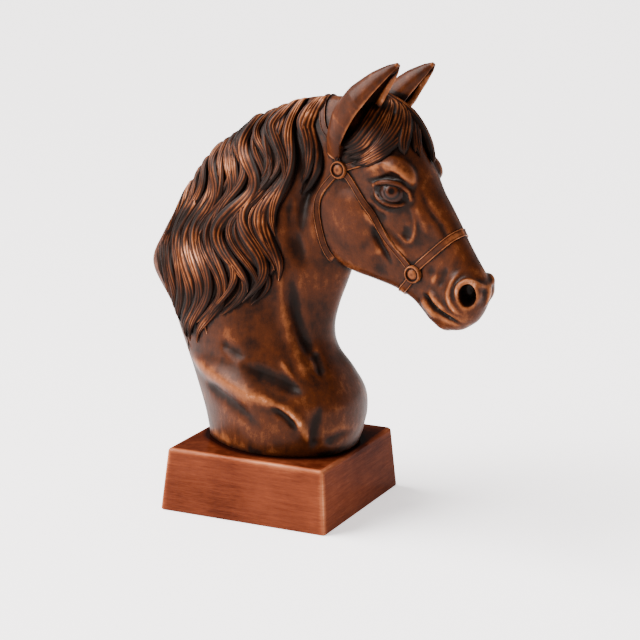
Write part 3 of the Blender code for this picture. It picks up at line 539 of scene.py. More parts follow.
def move_points(obj, points):
    obj.data.vertices.foreach_set("co", to_world(points).astype(np.float32).ravel())
    obj.data.update()


def surface_of(*objects):
    bm = bmesh.new()
    for obj in objects:
        bm.from_mesh(obj.data)
    tree = BVHTree.FromBMesh(bm)
    bm.free()
    return tree


def shoot(tree, start, target):
    """The first surface point from start towards target, and its normal. Without one, the target itself."""
    hit = tree.ray_cast(Vector(to_world(start)), Vector(target - start))
    if hit[0] is None:
        return target, unit(start - target)
    return to_drawing(hit[0]), np.array(hit[1])


def on_head(tree, along, above, side):
    return shoot(tree, head_point(along, above, HEAD_RAYS * side), head_point(along, above, 0))


def on_neck(tree, forward, up, side):
    return shoot(tree, np.array((forward, NECK_RAYS * side, up)), np.array((forward, 0.0, up)))


def drawn_path(tree, place, points, side):
    """A path on the surface through drawn places, eased where the surface steps from cheek to neck."""
    flat = smooth_curve(points, (len(points) - 1) * DRAWN_STEPS + 1)
    return ease(np.array([place(tree, *p, side)[0] for p in flat]), DRAWN_EASE)


def path_distance(points, path):
    """Distance of each point from the path, and how far along it that is, from 0 to 1."""
    nearest = np.full(len(points), np.inf)
    where = np.zeros(len(points))
    for i, (a, b) in enumerate(zip(path, path[1:])):
        step = b - a
        t = np.clip((points - a) @ step / max(step @ step, 1e-12), 0, 1)
        distance = np.linalg.norm(points - a - t[:, None] * step, axis=1)
        closer = distance < nearest
        nearest[closer] = distance[closer]
        where[closer] = (i + t[closer]) / (len(path) - 1)
    return nearest, where


def carve(obj, path, radius, height):
    """Raises or lowers the surface along a path, fading at both ends."""
    points = points_of(obj)
    normals = normals_of(obj)
    inside = (points > path.min(0) - 1.6 * radius) & (points < path.max(0) + 1.6 * radius)
    near = np.nonzero(inside.all(1))[0]
    distance, where = path_distance(points[near], path)
    fade = np.clip(np.minimum(where, 1 - where) / STROKE_FADE, 0, 1)
    fade = fade * fade * (3 - 2 * fade)
    reach = radius * (1 - STROKE_NARROWS + STROKE_NARROWS * fade)
    weight = np.exp(-2.0 * (distance / reach) ** 2) * fade
    points[near] += normals[near] * (weight * height)[:, None]
    move_points(obj, points)


def press(obj, middle, direction, depth, long, half_long, half_short):
    """Pushes an oval pit into the surface along a direction."""
    points = points_of(obj)
    direction = unit(direction)
    offset = points - middle
    along = offset @ direction
    flat = offset - along[:, None] * direction
    first = flat @ long
    second = np.linalg.norm(flat - first[:, None] * long, axis=1)
    share = np.hypot(first / half_long, second / half_short)
    weight = np.clip(1 - share**4, 0, 1) * (np.abs(along) < half_long * 1.5)
    move_points(obj, points + direction * (weight * depth)[:, None])


def tilted(degrees):
    """The head's axes along and above, turned in the head's side plane."""
    a = math.radians(degrees)
    along, above, _ = head_axes()
    return along * math.cos(a) + above * math.sin(a), above * math.cos(a) - along * math.sin(a)


def soften(obj, path, radius=9.0, times=14):
    """Smooths the surface around a path, where deep cuts have folded it."""
    points = points_of(obj)
    distance, _ = path_distance(points, path)
    weight = np.clip(1.7 - distance / radius, 0, 1)[:, None]
    move_points(obj, points + (spread(points, edges_of(obj), times) - points) * weight)


def carve_head(obj):
    tree = surface_of(obj)
    strokes = [(on_head,) + s for s in HEAD_STROKES] + [(on_neck,) + s for s in NECK_STROKES]
    for place, points, radius, height in strokes:
        for side in (-1, 1):
            carve(obj, drawn_path(tree, place, points, side), radius, height)
    for radius, height in CREASE_CUTS:
        tree = surface_of(obj)
        for side in (-1, 1):
            carve(obj, drawn_path(tree, on_head, CHEEK_CREASE, side), radius, height)
    for side in (-1, 1):
        soften(obj, drawn_path(tree, on_head, CHEEK_CREASE, side))
    tree = surface_of(obj)
    along, above, out = head_axes()
    for side in (-1, 1):
        for radius, height in MOUTH_CUTS:
            carve(obj, drawn_path(tree, on_head, MOUTH, side), radius, height)
        middle, _ = on_head(tree, *NOSTRIL, side)
        rim = []
        outside, radius, height = NOSTRIL_RIM
        for t in np.linspace(NOSTRIL_RIM_ENDS[0] * math.pi, NOSTRIL_RIM_ENDS[1] * math.pi, 21):
            a = math.radians(NOSTRIL_TILT)
            x = (NOSTRIL_HALF[0] + outside) * -math.sin(t)
            y = (NOSTRIL_HALF[1] + outside) * -math.cos(t)
            h, d = x * math.cos(a) - y * math.sin(a), x * math.sin(a) + y * math.cos(a)
            rim.append(on_head(tree, NOSTRIL[0] + h, NOSTRIL[1] + d, side)[0])
        carve(obj, np.array(rim), radius, height)
        long, _ = tilted(NOSTRIL_TILT)
        inward = -out * side - along * NOSTRIL_LEAN[0] - above * NOSTRIL_LEAN[1]
        press(obj, middle, inward, NOSTRIL_DEPTH, long, *NOSTRIL_HALF)


def tube(path, half_widths, half_heights, ups, sides):
    """A closed tube with oval rings square to the path."""
    forward = unit(np.gradient(path, axis=0))
    across = unit(np.cross(forward, ups))
    ups = np.cross(across, forward)
    angle = np.linspace(0, 2 * math.pi, sides, endpoint=False)
    wide = np.asarray(half_widths)[:, None, None] * np.cos(angle)[None, :, None]
    high = np.asarray(half_heights)[:, None, None] * np.sin(angle)[None, :, None]
    return loft(path[:, None, :] + across[:, None, :] * wide + ups[:, None, :] * high)


def eye_frame(tree, side):
    """Middle of the eye on the head, and its axes: to its front corner, up, and out."""
    rear, normal_1 = on_head(tree, *EYE_REAR, side)
    front, normal_2 = on_head(tree, *EYE_FRONT, side)
    long = unit(front - rear)
    out = normal_1 + normal_2
    out = unit(out - long * (out @ long))
    up = np.cross(long, out) * side
    middle = (front + rear) / 2
    hit = tree.ray_cast(Vector(to_world(middle + out * 20)), Vector(-out))
    return to_drawing(hit[0]), long, up, out


def lid_height(x, y):
    """How far out the lids lie over a place in the plane of the eye."""
    return math.sqrt(max(EYEBALL_RADIUS**2 - (x * 0.8) ** 2 - (y * 0.8) ** 2, 9.0)) - EYEBALL_DEPTH


def eye(tree, side):
    """Eyeball and lids of one eye."""
    middle, long, up, out = eye_frame(tree, side)
    bodies = [ellipsoid(middle - out * EYEBALL_DEPTH, (long, up, out), [EYEBALL_RADIUS - EYEBALL_SINK] * 3)]
    for line, radius, rise in LIDS:
        flat = smooth_curve(line, LID_POINTS)
        path = np.array([middle + long * x + up * y + out * (lid_height(x, y) + rise) for x, y in flat])
        size = radius * (0.5 + 0.5 * np.sin(np.linspace(0, math.pi, LID_POINTS)) ** 0.5)
        bodies.append(tube(path, size, size, np.tile(out, (LID_POINTS, 1)), 14))
    return bodies


def ear_outline(half, share):
    """One ring of the ear as (towards the opening, across) points: a wall bent round a hollow."""
    hollow = level(EAR_HOLLOW, share)
    reach = math.radians(EAR_REACH)
    wall = min(EAR_WALL, half * 0.45)
    rim = -math.cos(reach) * half * EAR_CUP
    ring = [(-math.cos(q) * half * EAR_CUP, math.sin(q) * half) for q in np.linspace(-reach, reach, 33)]
    for q in np.linspace(reach, -reach, 21)[1:-1]:
        flat = rim + half * 0.25 * math.cos(q / reach * math.pi / 2)
        depth = -math.cos(q) * (half - wall) * EAR_CUP
        ring.append((flat + (depth - flat) * hollow, math.sin(q) * (half - wall * (0.4 + 0.6 * hollow))))
    return ring


def ear(side):
    """A pricked ear: a cup, open to the front, along a bent line."""
    line = smooth_curve(EAR_LINE, 140)
    forward = unit(np.gradient(line, axis=0))
    turn = math.radians(EAR_OPENS_OUT) * side
    rings = []
    for i, (f, z) in enumerate(line):
        share = i / (len(line) - 1)
        z -= EAR_FAR_DROP * share * max(0, side)
        front = np.array((forward[i, 1], 0.0, -forward[i, 0]))
        left = np.array((0.0, 1.0, 0.0))
        opening = front * math.cos(turn) + left * math.sin(turn)
        across = left * math.cos(turn) - front * math.sin(turn)
        middle = np.array((f, level(EAR_OUT, share) * side, z))
        outline = smooth_curve(ear_outline(level(EAR_HALF, share), share), 120, closed=True)
        ring = middle + opening * outline[:, :1] + across * outline[:, 1:]
        rings.append(turned(ring[:, 0], ring[:, 1], ring[:, 2], HEAD_TURN))
    return loft(rings)


def cut_flat(obj):
    """Cuts the foot flat at its seat and closes it with one face."""
    bm = bmesh.new()
    bm.from_mesh(obj.data)
    geometry = bm.verts[:] + bm.edges[:] + bm.faces[:]
    bmesh.ops.bisect_plane(bm, geom=geometry, plane_co=(0, 0, SEAT), plane_no=(0, 0, 1), clear_inner=True)
    bmesh.ops.remove_doubles(bm, verts=bm.verts, dist=1e-6)
    bmesh.ops.holes_fill(bm, edges=[e for e in bm.edges if e.is_boundary], sides=0)
    bmesh.ops.triangulate(bm, faces=bm.faces)
    bmesh.ops.recalc_face_normals(bm, faces=bm.faces)
    bm.to_mesh(obj.data)
    bm.free()


def thin_out(obj, triangles):
    mesh = obj.data
    mesh.calc_loop_triangles()
    decimate = obj.modifiers.new("facets", "DECIMATE")
    decimate.ratio = min(1.0, triangles / len(mesh.loop_triangles))
    decimate.use_collapse_triangulate = True
    apply_modifiers(obj)


def lock_path(tree, start, tip, swing, shift, lift, steps):
    """A lock of the mane: it leaves the crest and hangs down the near side in waves."""
    top = level(CREST, start)
    points = [np.array((start + 1.5, 4.0, top - 1.0)), np.array((start + 0.5, 0.0, top + 1.2))]
    normals = [np.array((0.0, 0.5, 0.8)), np.array((0.0, 0.0, 1.0))]
    for t in np.linspace(0, 1, steps):
        z = top - 3.0 + (tip - top + 3.0) * t
        grow = min(1.0, t * 3.5)
        x = start - 5 * grow + swing * grow * math.cos(2 * math.pi * (z - 226 - 0.35 * start - shift) / WAVE)
        x = max(x, MANE_BACK[0] + (MANE_BACK[1] - min(z, MANE_BACK[1])) * MANE_BACK[2])
        point, normal = on_neck(tree, x, z, -1)
        if point[1] > 2 or abs(normal[1]) < 0.05:
            point, normal = np.array((x, -2.0, z)), np.array((0.0, -0.7, 0.7))
        points.append(point + normal * lift * min(1.0, 0.6 + 3.5 * t))
        normals.append(np.array((0.0, -1.0, 0.12 + 1.4 * max(0.0, 1 - 8 * t))))
    return ease(np.array(points)), ease(np.array(normals))


def settled_path(tree, points, count, lift):
    """A smooth path through guesses on the head, laid on the nearest surface and raised by lift."""
    path, ups = [], []
    for guess in smooth_curve(points, count):
        hit = tree.find_nearest(Vector(to_world(head_point(*guess))))
        path.append(to_drawing(hit[0]) + np.array(hit[1]) * lift * (1 - 0.7 * len(path) / count))
        ups.append(np.array(hit[1]))
    return ease(np.array(path)), ease(np.array(ups))


class Value:
    """A socket that takes part in Python arithmetic by adding Math nodes to its tree."""

    def __init__(self, graph, socket):
        self.graph, self.socket = graph, socket

    def math(self, operation, *others):
        return self.graph.value("ShaderNodeMath", {"operation": operation}, self, *others)

    def __add__(self, other):
        return self.math("ADD", other)

    def __radd__(self, other):
        return self.math("ADD", other)

    def __sub__(self, other):
        return self.math("SUBTRACT", other)

    def __rsub__(self, other):
        return self.graph.value("ShaderNodeMath", {"operation": "SUBTRACT"}, other, self)

    def __mul__(self, other):
        return self.math("MULTIPLY", other)

    def __rmul__(self, other):
        return self.math("MULTIPLY", other)

    def clamp(self):
        return self.graph.value("ShaderNodeClamp", {}, self)


class Graph:
    """Adds nodes to a tree. Each call takes a node's type, its settings, and its inputs."""

    def __init__(self, tree):
        self.tree = tree

    def node(self, kind, settings, *inputs, **named):
        node = self.tree.nodes.new(kind)
        for key, setting in settings.items():
            setattr(node, key, setting)
        for i, given in enumerate(inputs):
            self.put(node.inputs[i], given)
        for key, given in named.items():
            self.put(node.inputs[key.replace("_", " ")], given)
        return node

    def put(self, socket, given):
        if given is None:
            return
        if isinstance(given, Value):
            given = given.socket
        if isinstance(given, bpy.types.NodeSocket):
            self.tree.links.new(given, socket)
        else:
            socket.default_value = given

    def value(self, kind, settings, *inputs, out=0, **named):
        return Value(self, self.node(kind, settings, *inputs, **named).outputs[out])


# the plinth's faces are cut this many times across and up, for the wear and shade that they carry
CUTS_ACROSS = 64
CUTS_UP = 24

# camera at the photograph's viewing angle, and the stage
CAMERA_AZIMUTH = 24.6
CAMERA_ELEVATION = 13.8
CAMERA_ROLL = 0.78
CAMERA_DISTANCE = 1.4817
CAMERA_ASIDE = 0.02465
CAMERA_ALOFT = 0.11937
LENS = 123.75
SENSOR = 36.0
FLOOR_CORNERS = ((-40, -4), (40, -4), (40, 60), (-40, 60))
SKY_STRENGTH = 0.6
# height that the lights point at
LIGHTS_AIM = 0.15

# lights: kind, place, power, and the side of its square in metres or the sun's angle in degrees
STUDIO = (
    ("daylight", "SUN", (-1.0, -0.35, 1.2), 12.0, 50),
    ("window", "AREA", (-1.0, -1.1, 0.8), 34, 0.8),
    ("far window", "AREA", (0.9, 0.9, 0.6), 2.5, 0.7),
)


def number(name, description, default, **limits):
    return bpy.props.FloatProperty(name=name, description=description, default=default, **limits)


def count(name, description, default, least=0):
    return bpy.props.IntProperty(name=name, description=description, default=default, min=least)


def colour(name, description, default):
    return bpy.props.FloatVectorProperty(name=name, description=description, default=default, size=3,
                                         subtype="COLOR", min=0.0, max=1.0)


class BustSizes(bpy.types.PropertyGroup):
    voxel: number("Skin", "Fineness of the carved skin, in thousandths of the height", 0.8, min=0.4, max=3.0)
    triangles: count("Triangles", "Triangles kept in the carved skin", 190000, 1000)


class HairSizes(bpy.types.PropertyGroup):
    sides: count("Sides", "Points round a lock", 30, 6)
    steps: count("Steps", "Points along a lock of the mane", 48, 8)
    ridges: count("Ridges", "Strands carved on each lock", 4)
    groove: number("Groove", "Depth of the grooves between strands, as a share", 0.34, subtype="FACTOR",
                   min=0.0, max=1.0)
    twist: number("Twist", "How far the locks turn about themselves in each wave", 0.45, subtype="ANGLE")
    seed: count("Seed", "Seed of the locks' widths and waves", 7)
    flatness: number("Flatness", "Height of a lock as a share of its width", 0.66, subtype="FACTOR",
                     min=0.1, max=1.0)


class BridleSizes(bpy.types.PropertyGroup):
    strap_width: number("Strap width", "Width of the cheek, throat, brow and crown straps", 4.2 * SHARE,
                        unit="LENGTH")
    noseband_width: number("Noseband width", "Width of the strap round the nose", 5.0 * SHARE, unit="LENGTH")
    thickness: number("Thickness", "Thickness of the straps", 1.8 * SHARE, unit="LENGTH")
    button_radius: number("Button radius", "Radius of the round buttons", 5.6 * SHARE, unit="LENGTH")
    button_height: number("Button height", "Height of the buttons' rims", 2.3 * SHARE, unit="LENGTH")


class PlinthSizes(bpy.types.PropertyGroup):
    flare: number("Flare", "How much farther out the foot of the plinth reaches", 0.0037, unit="LENGTH")
    edge_radius: number("Edge radius", "Rounding of the upper and upright edges", 0.0026, unit="LENGTH")
    foot_radius: number("Foot radius", "Rounding of the lower edges", 0.0012, unit="LENGTH")


# colours along the tone: the dark end holds the stain and painted shade of hollows and gaps between parts,
# the copper end the rubbing of crests and painted highlights
class WoodColours(bpy.types.PropertyGroup):
    hollow: colour("Hollow", "Stain in the deepest hollows", (0.0016, 0.0008, 0.0007))
    dark: colour("Dark", "Stain beside the hollows", (0.007, 0.0018, 0.0008))
    stain: colour("Stain", "Stain on plain surfaces", (0.038, 0.0082, 0.0017))
    brown: colour("Brown", "Thin stain on raised parts", (0.158, 0.048, 0.0150))
    copper: colour("Copper", "Rubbed crests and edges", (0.54, 0.260, 0.155))


class PlinthColours(bpy.types.PropertyGroup):
    shadow: colour("Shadow", "Lacquer where the bust stands", (0.006, 0.0012, 0.0007))
    deep: colour("Deep", "Darkest grain", (0.035, 0.0055, 0.0018))
    red: colour("Red", "Plain lacquer", (0.112, 0.025, 0.0095))
    warm: colour("Warm", "Lightest grain", (0.24, 0.072, 0.030))
    worn: colour("Worn", "Worn edges", (0.47, 0.20, 0.10))


class StageColours(bpy.types.PropertyGroup):
    floor: colour("Floor", "Surface of the floor", (0.93, 0.89, 0.885))
    glow: colour("Glow", "Light that the floor gives off", (1.0, 0.95, 0.945))
    sky: colour("Sky", "Light from all round", (1.0, 0.96, 0.94))


def new_material(name):
    """An empty material as (material, graph, principled shader)."""
    material = bpy.data.materials.new(name)
    material.use_nodes = True
    tree = material.node_tree
    tree.nodes.clear()
    g = Graph(tree)
    shader = g.node("ShaderNodeBsdfPrincipled", {})
    out = g.node("ShaderNodeOutputMaterial", {})
    tree.links.new(shader.outputs["BSDF"], out.inputs["Surface"])
    return material, g, shader


def attribute(g, name):
    return g.value("ShaderNodeAttribute", {"attribute_name": name}, out="Fac")


def colour_ramp(g, tone, colours, places):
    """Colours along a tone, each at its place."""
    ramp = g.node("ShaderNodeValToRGB", {}, tone)
    elements = ramp.color_ramp.elements
    while len(elements) < len(places):
        elements.new(0.5)
    for element, (label, place) in zip(elements, places.items()):
        element.position = place
        element.color = (*getattr(colours, label), 1)
    return ramp.outputs["Color"]


def carved_material(name, colours, stretch, strands, sheen):
    """Stained carving that rubbing turns copper on the raised parts, with painted shade that makes it nearly
    black in the hollows and between the locks, and painted highlights and shade along the carved strokes.
    """
    material, g, shader = new_material(name)
    place = g.node("ShaderNodeTexCoord", {}).outputs["Object"]
    streaked = g.node("ShaderNodeMapping", {}, Vector=place, Scale=stretch).outputs[0]
    mottle = g.value("ShaderNodeTexNoise", {}, Vector=place, Scale=62.0, Detail=5.0, Roughness=0.62)
    streak = g.value("ShaderNodeTexNoise", {}, Vector=streaked, Scale=240.0, Detail=4.0, Roughness=0.6)
    grain = g.value("ShaderNodeTexNoise", {}, Vector=place, Scale=1500.0, Detail=2.0)
    # tone: lighter on crests, with painted highlights and painted shade along the strokes, at the foot and
    # round the eyes
    tone = 0.37 + 0.34 * attribute(g, "crest") + 0.26 * attribute(g, "tone_and_painted_light")
    tone = tone + (mottle - 0.5) * 0.5 + (streak - 0.5) * 0.32 + (grain - 0.5) * 0.12
    if strands:
        hair = g.node("ShaderNodeCombineXYZ", {}, attribute(g, "across") * 5.0, attribute(g, "seed") * 7.0,
                      attribute(g, "along") * 3.0).outputs[0]
        strand = g.value("ShaderNodeTexNoise", {}, Vector=hair, Scale=3.0, Detail=3.0, Roughness=0.7)
        # painted light on the locks: lighter along the middle of each lock than at its sides, and painted
        # shade in the grooves between strands
        crown = 1.0 - attribute(g, "across") * attribute(g, "across")
        bright = g.value("ShaderNodeTexNoise", {}, Vector=place, Scale=34.0, Detail=2.0)
        tone = tone - 0.40 + 0.58 * crown - 0.40 * attribute(g, "groove") + (bright - 0.5) * 1.4
        tone = tone + (strand - 0.5) * strands
    # painted shade: darker where the surface sees little sky, in hollows and between parts, and more so on
    # the hair
    light = (attribute(g, "open") * 1.6 + 0.40).clamp()
    tone = (tone * (0.10 + 0.94 * (light * light if strands else light))).clamp()
    g.put(shader.inputs["Base Color"], colour_ramp(g, tone, colours, WOOD_PLACES))
    g.put(shader.inputs["Roughness"], (0.62 - 0.30 * tone + (mottle - 0.5) * 0.2).clamp())
    bump = g.node("ShaderNodeBump", {}, Strength=0.35, Distance=0.0004)
    g.put(bump.inputs["Height"], streak + 0.5 * grain)
    g.put(shader.inputs["Normal"], bump.outputs["Normal"])
    shader.inputs["Specular IOR Level"].default_value = 0.07
    shader.inputs["Specular Tint"].default_value = (1.0, 0.66, 0.5, 1.0)
    shader.inputs["Coat Weight"].default_value = sheen
    shader.inputs["Coat Roughness"].default_value = 0.22
    return material


def eye_material(colours):
    """The glossy eyeball, dark with a copper iris."""
    material, g, shader = new_material("Polished eye")
    # tone: the eye's own colours of iris and pupil, with painted shade round its edge under the lids
    tone = attribute(g, "tone_and_painted_light")
    g.put(shader.inputs["Base Color"], colour_ramp(g, tone, colours, WOOD_PLACES))
    shader.inputs["Roughness"].default_value = 0.3
    shader.inputs["Specular IOR Level"].default_value = 0.08
    shader.inputs["Coat Weight"].default_value = 0.05
    shader.inputs["Coat Roughness"].default_value = 0.05
    return material


def plinth_material(colours):
    """Red brown satin lacquer with level grain, worn lighter along the edges."""
    material, g, shader = new_material("Lacquered wood")
    place = g.node("ShaderNodeTexCoord", {}).outputs["Object"]
    along = g.node("ShaderNodeMapping", {}, Vector=place, Scale=(1.0, 1.0, 14.0)).outputs[0]
    cloud = g.value("ShaderNodeTexNoise", {}, Vector=place, Scale=22.0, Detail=4.0)
    grain = g.value("ShaderNodeTexNoise", {}, Vector=along, Scale=42.0, Detail=6.0, Roughness=0.7,
                    Distortion=0.4)
    fine = g.value("ShaderNodeTexNoise", {}, Vector=along, Scale=190.0, Detail=3.0, Roughness=0.6)
    wear = attribute(g, "wear")
    tone = 0.44 + (grain - 0.5) * 0.36 + (cloud - 0.5) * 0.5 + (fine - 0.5) * 0.22
    tone = (tone + wear * (cloud + 0.1) * 0.75 - 0.75 * attribute(g, "shade")).clamp()
    g.put(shader.inputs["Base Color"], colour_ramp(g, tone, colours, PLINTH_PLACES))
    g.put(shader.inputs["Roughness"], 0.30 + (fine - 0.5) * 0.14 + (cloud - 0.5) * 0.1)
    bump = g.node("ShaderNodeBump", {}, Strength=0.12, Distance=0.0003)
    g.put(bump.inputs["Height"], fine)
    g.put(shader.inputs["Normal"], bump.outputs["Normal"])
    shader.inputs["Specular IOR Level"].default_value = 0.0
    shader.inputs["Coat Weight"].default_value = 0.06
    shader.inputs["Coat Roughness"].default_value = 0.14
    return material


def put_attribute(obj, name, values):
    layer = obj.data.attributes.new(name, "FLOAT", "POINT")
    layer.data.foreach_set("value", np.asarray(values, np.float32))


def edges_of(obj):
    pairs = np.empty(len(obj.data.edges) * 2, np.int32)
    obj.data.edges.foreach_get("vertices", pairs)
    return pairs.reshape(-1, 2)


def spread(values, pairs, times):
    """Averages values over neighbouring vertices, some times over."""
    count = len(values)
    flat = values.reshape(count, -1).astype(float)
    degree = np.bincount(pairs.ravel(), minlength=count)[:, None] + 1.0
    for _ in range(times):
        total = flat.copy()
        for k in range(flat.shape[1]):
            total[:, k] += np.bincount(pairs[:, 0], flat[pairs[:, 1], k], count)
            total[:, k] += np.bincount(pairs[:, 1], flat[pairs[:, 0], k], count)
        flat = total / degree
    return flat.reshape(values.shape)


def crest_of(obj, times, full):
    """How far each vertex stands above its surroundings, from -1 in a hollow to 1 on a crest."""
    points, normals, pairs = points_of(obj), normals_of(obj), edges_of(obj)
    rise = np.einsum("ij,ij->i", points - spread(points, pairs, times), normals)
    return spread(np.clip(rise / full, -1, 1), pairs, 1)


def openness(obj, tree, reach):
    """Share of the sky that each vertex sees out to a reach, from fixed directions."""
    k = np.arange(SKY_RAYS) + 0.5
    height, turn = 1 - 2 * k / SKY_RAYS, k * math.pi * (3 - math.sqrt(5))
    flat = np.sqrt(1 - height**2)
    directions = np.stack([flat * np.cos(turn), flat * np.sin(turn), height], 1)
    places = read_vectors(obj.data.vertices, "co", len(obj.data.vertices))
    normals = normals_of(obj)
    starts = (places + normals * 0.0004).tolist()
    facing = normals @ directions.T
    seen, total = np.zeros(len(starts)), np.zeros(len(starts))
    for j, direction in enumerate(directions):
        weight = np.clip(facing[:, j], 0, None)
        ray = Vector(direction)
        used = np.nonzero(weight > 0.08)[0]
        free = [tree.ray_cast(Vector(starts[i]), ray, reach)[0] is None for i in used.tolist()]
        seen[used] += weight[used] * free
        total[used] += weight[used]
    return spread(seen / np.maximum(total, 1e-6), edges_of(obj), 1)


def painted_stroke_light(points, tree):
    """Painted light along the carving strokes: painted highlights where they raise, painted shade where they
    cut and along the mouth and the cheek's edge, and the extra painted highlights.
    """
    tone = np.zeros(len(points))
    strokes = [(on_head,) + s for s in HEAD_STROKES + PAINTED_HIGHLIGHT_STROKES] + [(on_neck,) + s for s in NECK_STROKES]
    strokes.append((on_head, MOUTH, *MOUTH_PAINTED_SHADE))
    strokes.append((on_head, CHEEK_CREASE, *CREASE_PAINTED_SHADE))
    for place, line, radius, height in strokes:
        for side in (-1, 1):
            path = drawn_path(tree, place, line, side)
            inside = (points > path.min(0) - 2 * radius) & (points < path.max(0) + 2 * radius)
            near = np.nonzero(inside.all(1))[0]
            distance, where = path_distance(points[near], path)
            fade = np.clip(np.minimum(where, 1 - where) / TONE_FADE, 0, 1)
            tone[near] += np.exp(-2.0 * (distance / radius) ** 2) * fade * height * STROKE_PAINTED_LIGHT
    return np.clip(tone, -1, 1)


def dress(obj, node):
    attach(obj, "root")
    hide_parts(node)


# fineness of the rough skin that is carved, and passes and strength of the easing of rough and fine skin
ROUGH_SKIN = 1.1
ROUGH_EASE = (10, 0.5)
FINE_EASE = (4, 0.5)

# the carved skin before ears and lids, on which hair, straps and eyes are placed
SKIN = {}


def carved_skin():
    if "tree" not in SKIN:
        raise RuntimeError("carve the bust first")
    return SKIN["tree"]


def carved_object(name):
    if name not in bpy.data.objects:
        raise RuntimeError(f"make the {name} first")
    return bpy.data.objects[name]


def lifted(obj):
    """The body of an object, taken out of the scene."""
    bm = bmesh.new()
    bm.from_mesh(obj.data)
    bmesh.ops.recalc_face_normals(bm, faces=bm.faces)
    bpy.data.objects.remove(obj)
    return bm


class SCULPT_OT_bust(bpy.types.Operator):
    """Carve the head, ears and neck"""

    bl_idname = "sculpt.horse_bust"
    bl_label = "Carve the bust"

    def execute(self, context):
        sizes = context.scene.bust_sizes
        obj = gather("horse_body", [head_core(), neck_core()] + head_masses())
        fuse(obj, max(sizes.voxel, ROUGH_SKIN), *ROUGH_EASE)
        carve_head(obj)
        skin = SKIN["tree"] = surface_of(obj)
        body = lifted(obj)
        details = []
        for side in (-1, 1):
            details += eye(skin, side)
        obj = gather("bust", [body] + details)
        fuse(obj, sizes.voxel, *FINE_EASE)
        if not obj.data.polygons:
            raise RuntimeError("the bust came out empty")
        thin_out(obj, sizes.triangles)
        cut_flat(obj)
        obj.data.shade_smooth()
        colours = context.scene.wood_colours
        obj.data.materials.append(carved_material("Carved wood", colours, (1.0, 1.0, 0.6), 0.0, 0.06))
        dress(obj, "horse_bust")
        ears = gather("ears", [ear(side) for side in (-1, 1)])
        ears.data.shade_smooth()
        ears.data.materials.append(obj.data.materials[0])
        dress(ears, "horse_bust")
        return {"FINISHED"}


def new_group(name, sockets):
    """An empty node group with these inputs beside its geometry, as (graph, inputs by name)."""
    tree = bpy.data.node_groups.new(name, "GeometryNodeTree")
    face = tree.interface
    face.new_socket("Geometry", in_out="INPUT", socket_type="NodeSocketGeometry")
    for label, kind in sockets.items():
        face.new_socket(label, in_out="INPUT", socket_type="NodeSocket" + kind)
    face.new_socket("Geometry", in_out="OUTPUT", socket_type="NodeSocketGeometry")
    g = Graph(tree)
    given = g.node("NodeGroupInput", {})
    return g, {s.name: Value(g, s) for s in given.outputs if s.name}


def named(g, label, kind="FLOAT"):
    """A stored attribute of the geometry."""
    return g.node("GeometryNodeInputNamedAttribute", {"data_type": kind}, Name=label).outputs["Attribute"]


def curves_along(g, paths):
    """Edge chains as curves that face along their up attribute."""
    curve = g.node("GeometryNodeMeshToCurve", {}, Mesh=paths).outputs["Curve"]
    up = named(g, "up", "FLOAT_VECTOR")
    return g.node("GeometryNodeSetCurveNormal", {"mode": "FREE"}, Curve=curve, Normal=up).outputs["Curve"]


def end_group(g, geometry, material):
    """Ends a node group with real geometry that wears its material."""
    mesh = g.node("GeometryNodeRealizeInstances", {}, geometry).outputs[0]
    mesh = g.node("GeometryNodeSetMaterial", {}, Geometry=mesh, Material=material).outputs[0]
    g.tree.links.new(mesh, g.node("NodeGroupOutput", {}).inputs[0])
    return g.tree


def hair_group():
    """Sweeps a ridged oval along each edge chain, by its width and up attributes."""
    g, inputs = new_group("Hair locks", {"Sides": "Int", "Ridges": "Int", "Groove": "Float",
                                         "Flatness": "Float", "Material": "Material"})
    curve = curves_along(g, inputs["Geometry"])
    ring = g.node("GeometryNodeCurvePrimitiveCircle", {"mode": "RADIUS"}, Resolution=inputs["Sides"],
                  Radius=1.0)
    spot = g.node("ShaderNodeSeparateXYZ", {}, g.node("GeometryNodeInputPosition", {}).outputs[0])
    across, rise = Value(g, spot.outputs[1]), Value(g, spot.outputs[0])
    wave = (across + 1.0) * inputs["Ridges"] * math.pi
    groove = 0.5 - 0.5 * wave.math("COSINE")
    on_top = rise.math("GREATER_THAN", -0.2)
    high = rise * inputs["Flatness"] * (1.0 - inputs["Groove"] * groove * on_top)
    shape = g.node("ShaderNodeCombineXYZ", {}, high, across, 0.0)
    profile = g.node("GeometryNodeSetPosition", {}, Geometry=ring.outputs["Curve"], Position=shape.outputs[0])
    marked = profile.outputs[0]
    for label, value in (("across", across), ("groove", groove * on_top)):
        store = g.node("GeometryNodeStoreNamedAttribute", {"data_type": "FLOAT", "domain": "POINT"},
                       Geometry=marked, Name=label, Value=value)
        marked = store.outputs[0]
    mesh = g.node("GeometryNodeCurveToMesh", {}, Curve=curve, Profile_Curve=marked, Scale=named(g, "width"),
                  Fill_Caps=True).outputs["Mesh"]
    return end_group(g, mesh, inputs["Material"])


def strap_group():
    """Sweeps the outline of a strap along each edge chain."""
    g, inputs = new_group("Straps", {"Outline": "Object", "Width": "Float", "Thickness": "Float",
                                     "Material": "Material"})
    curve = curves_along(g, inputs["Geometry"])
    outline = g.node("GeometryNodeObjectInfo", {}, Object=inputs["Outline"]).outputs["Geometry"]
    outline = g.node("GeometryNodeMeshToCurve", {}, Mesh=outline).outputs["Curve"]
    size = g.node("ShaderNodeCombineXYZ", {}, inputs["Thickness"] * 0.5, inputs["Width"] * 0.5, 1.0)
    outline = g.node("GeometryNodeTransform", {}, Geometry=outline, Scale=size.outputs[0]).outputs[0]
    mesh = g.node("GeometryNodeCurveToMesh", {}, Curve=curve, Profile_Curve=outline, Fill_Caps=True)
    return end_group(g, mesh.outputs["Mesh"], inputs["Material"])


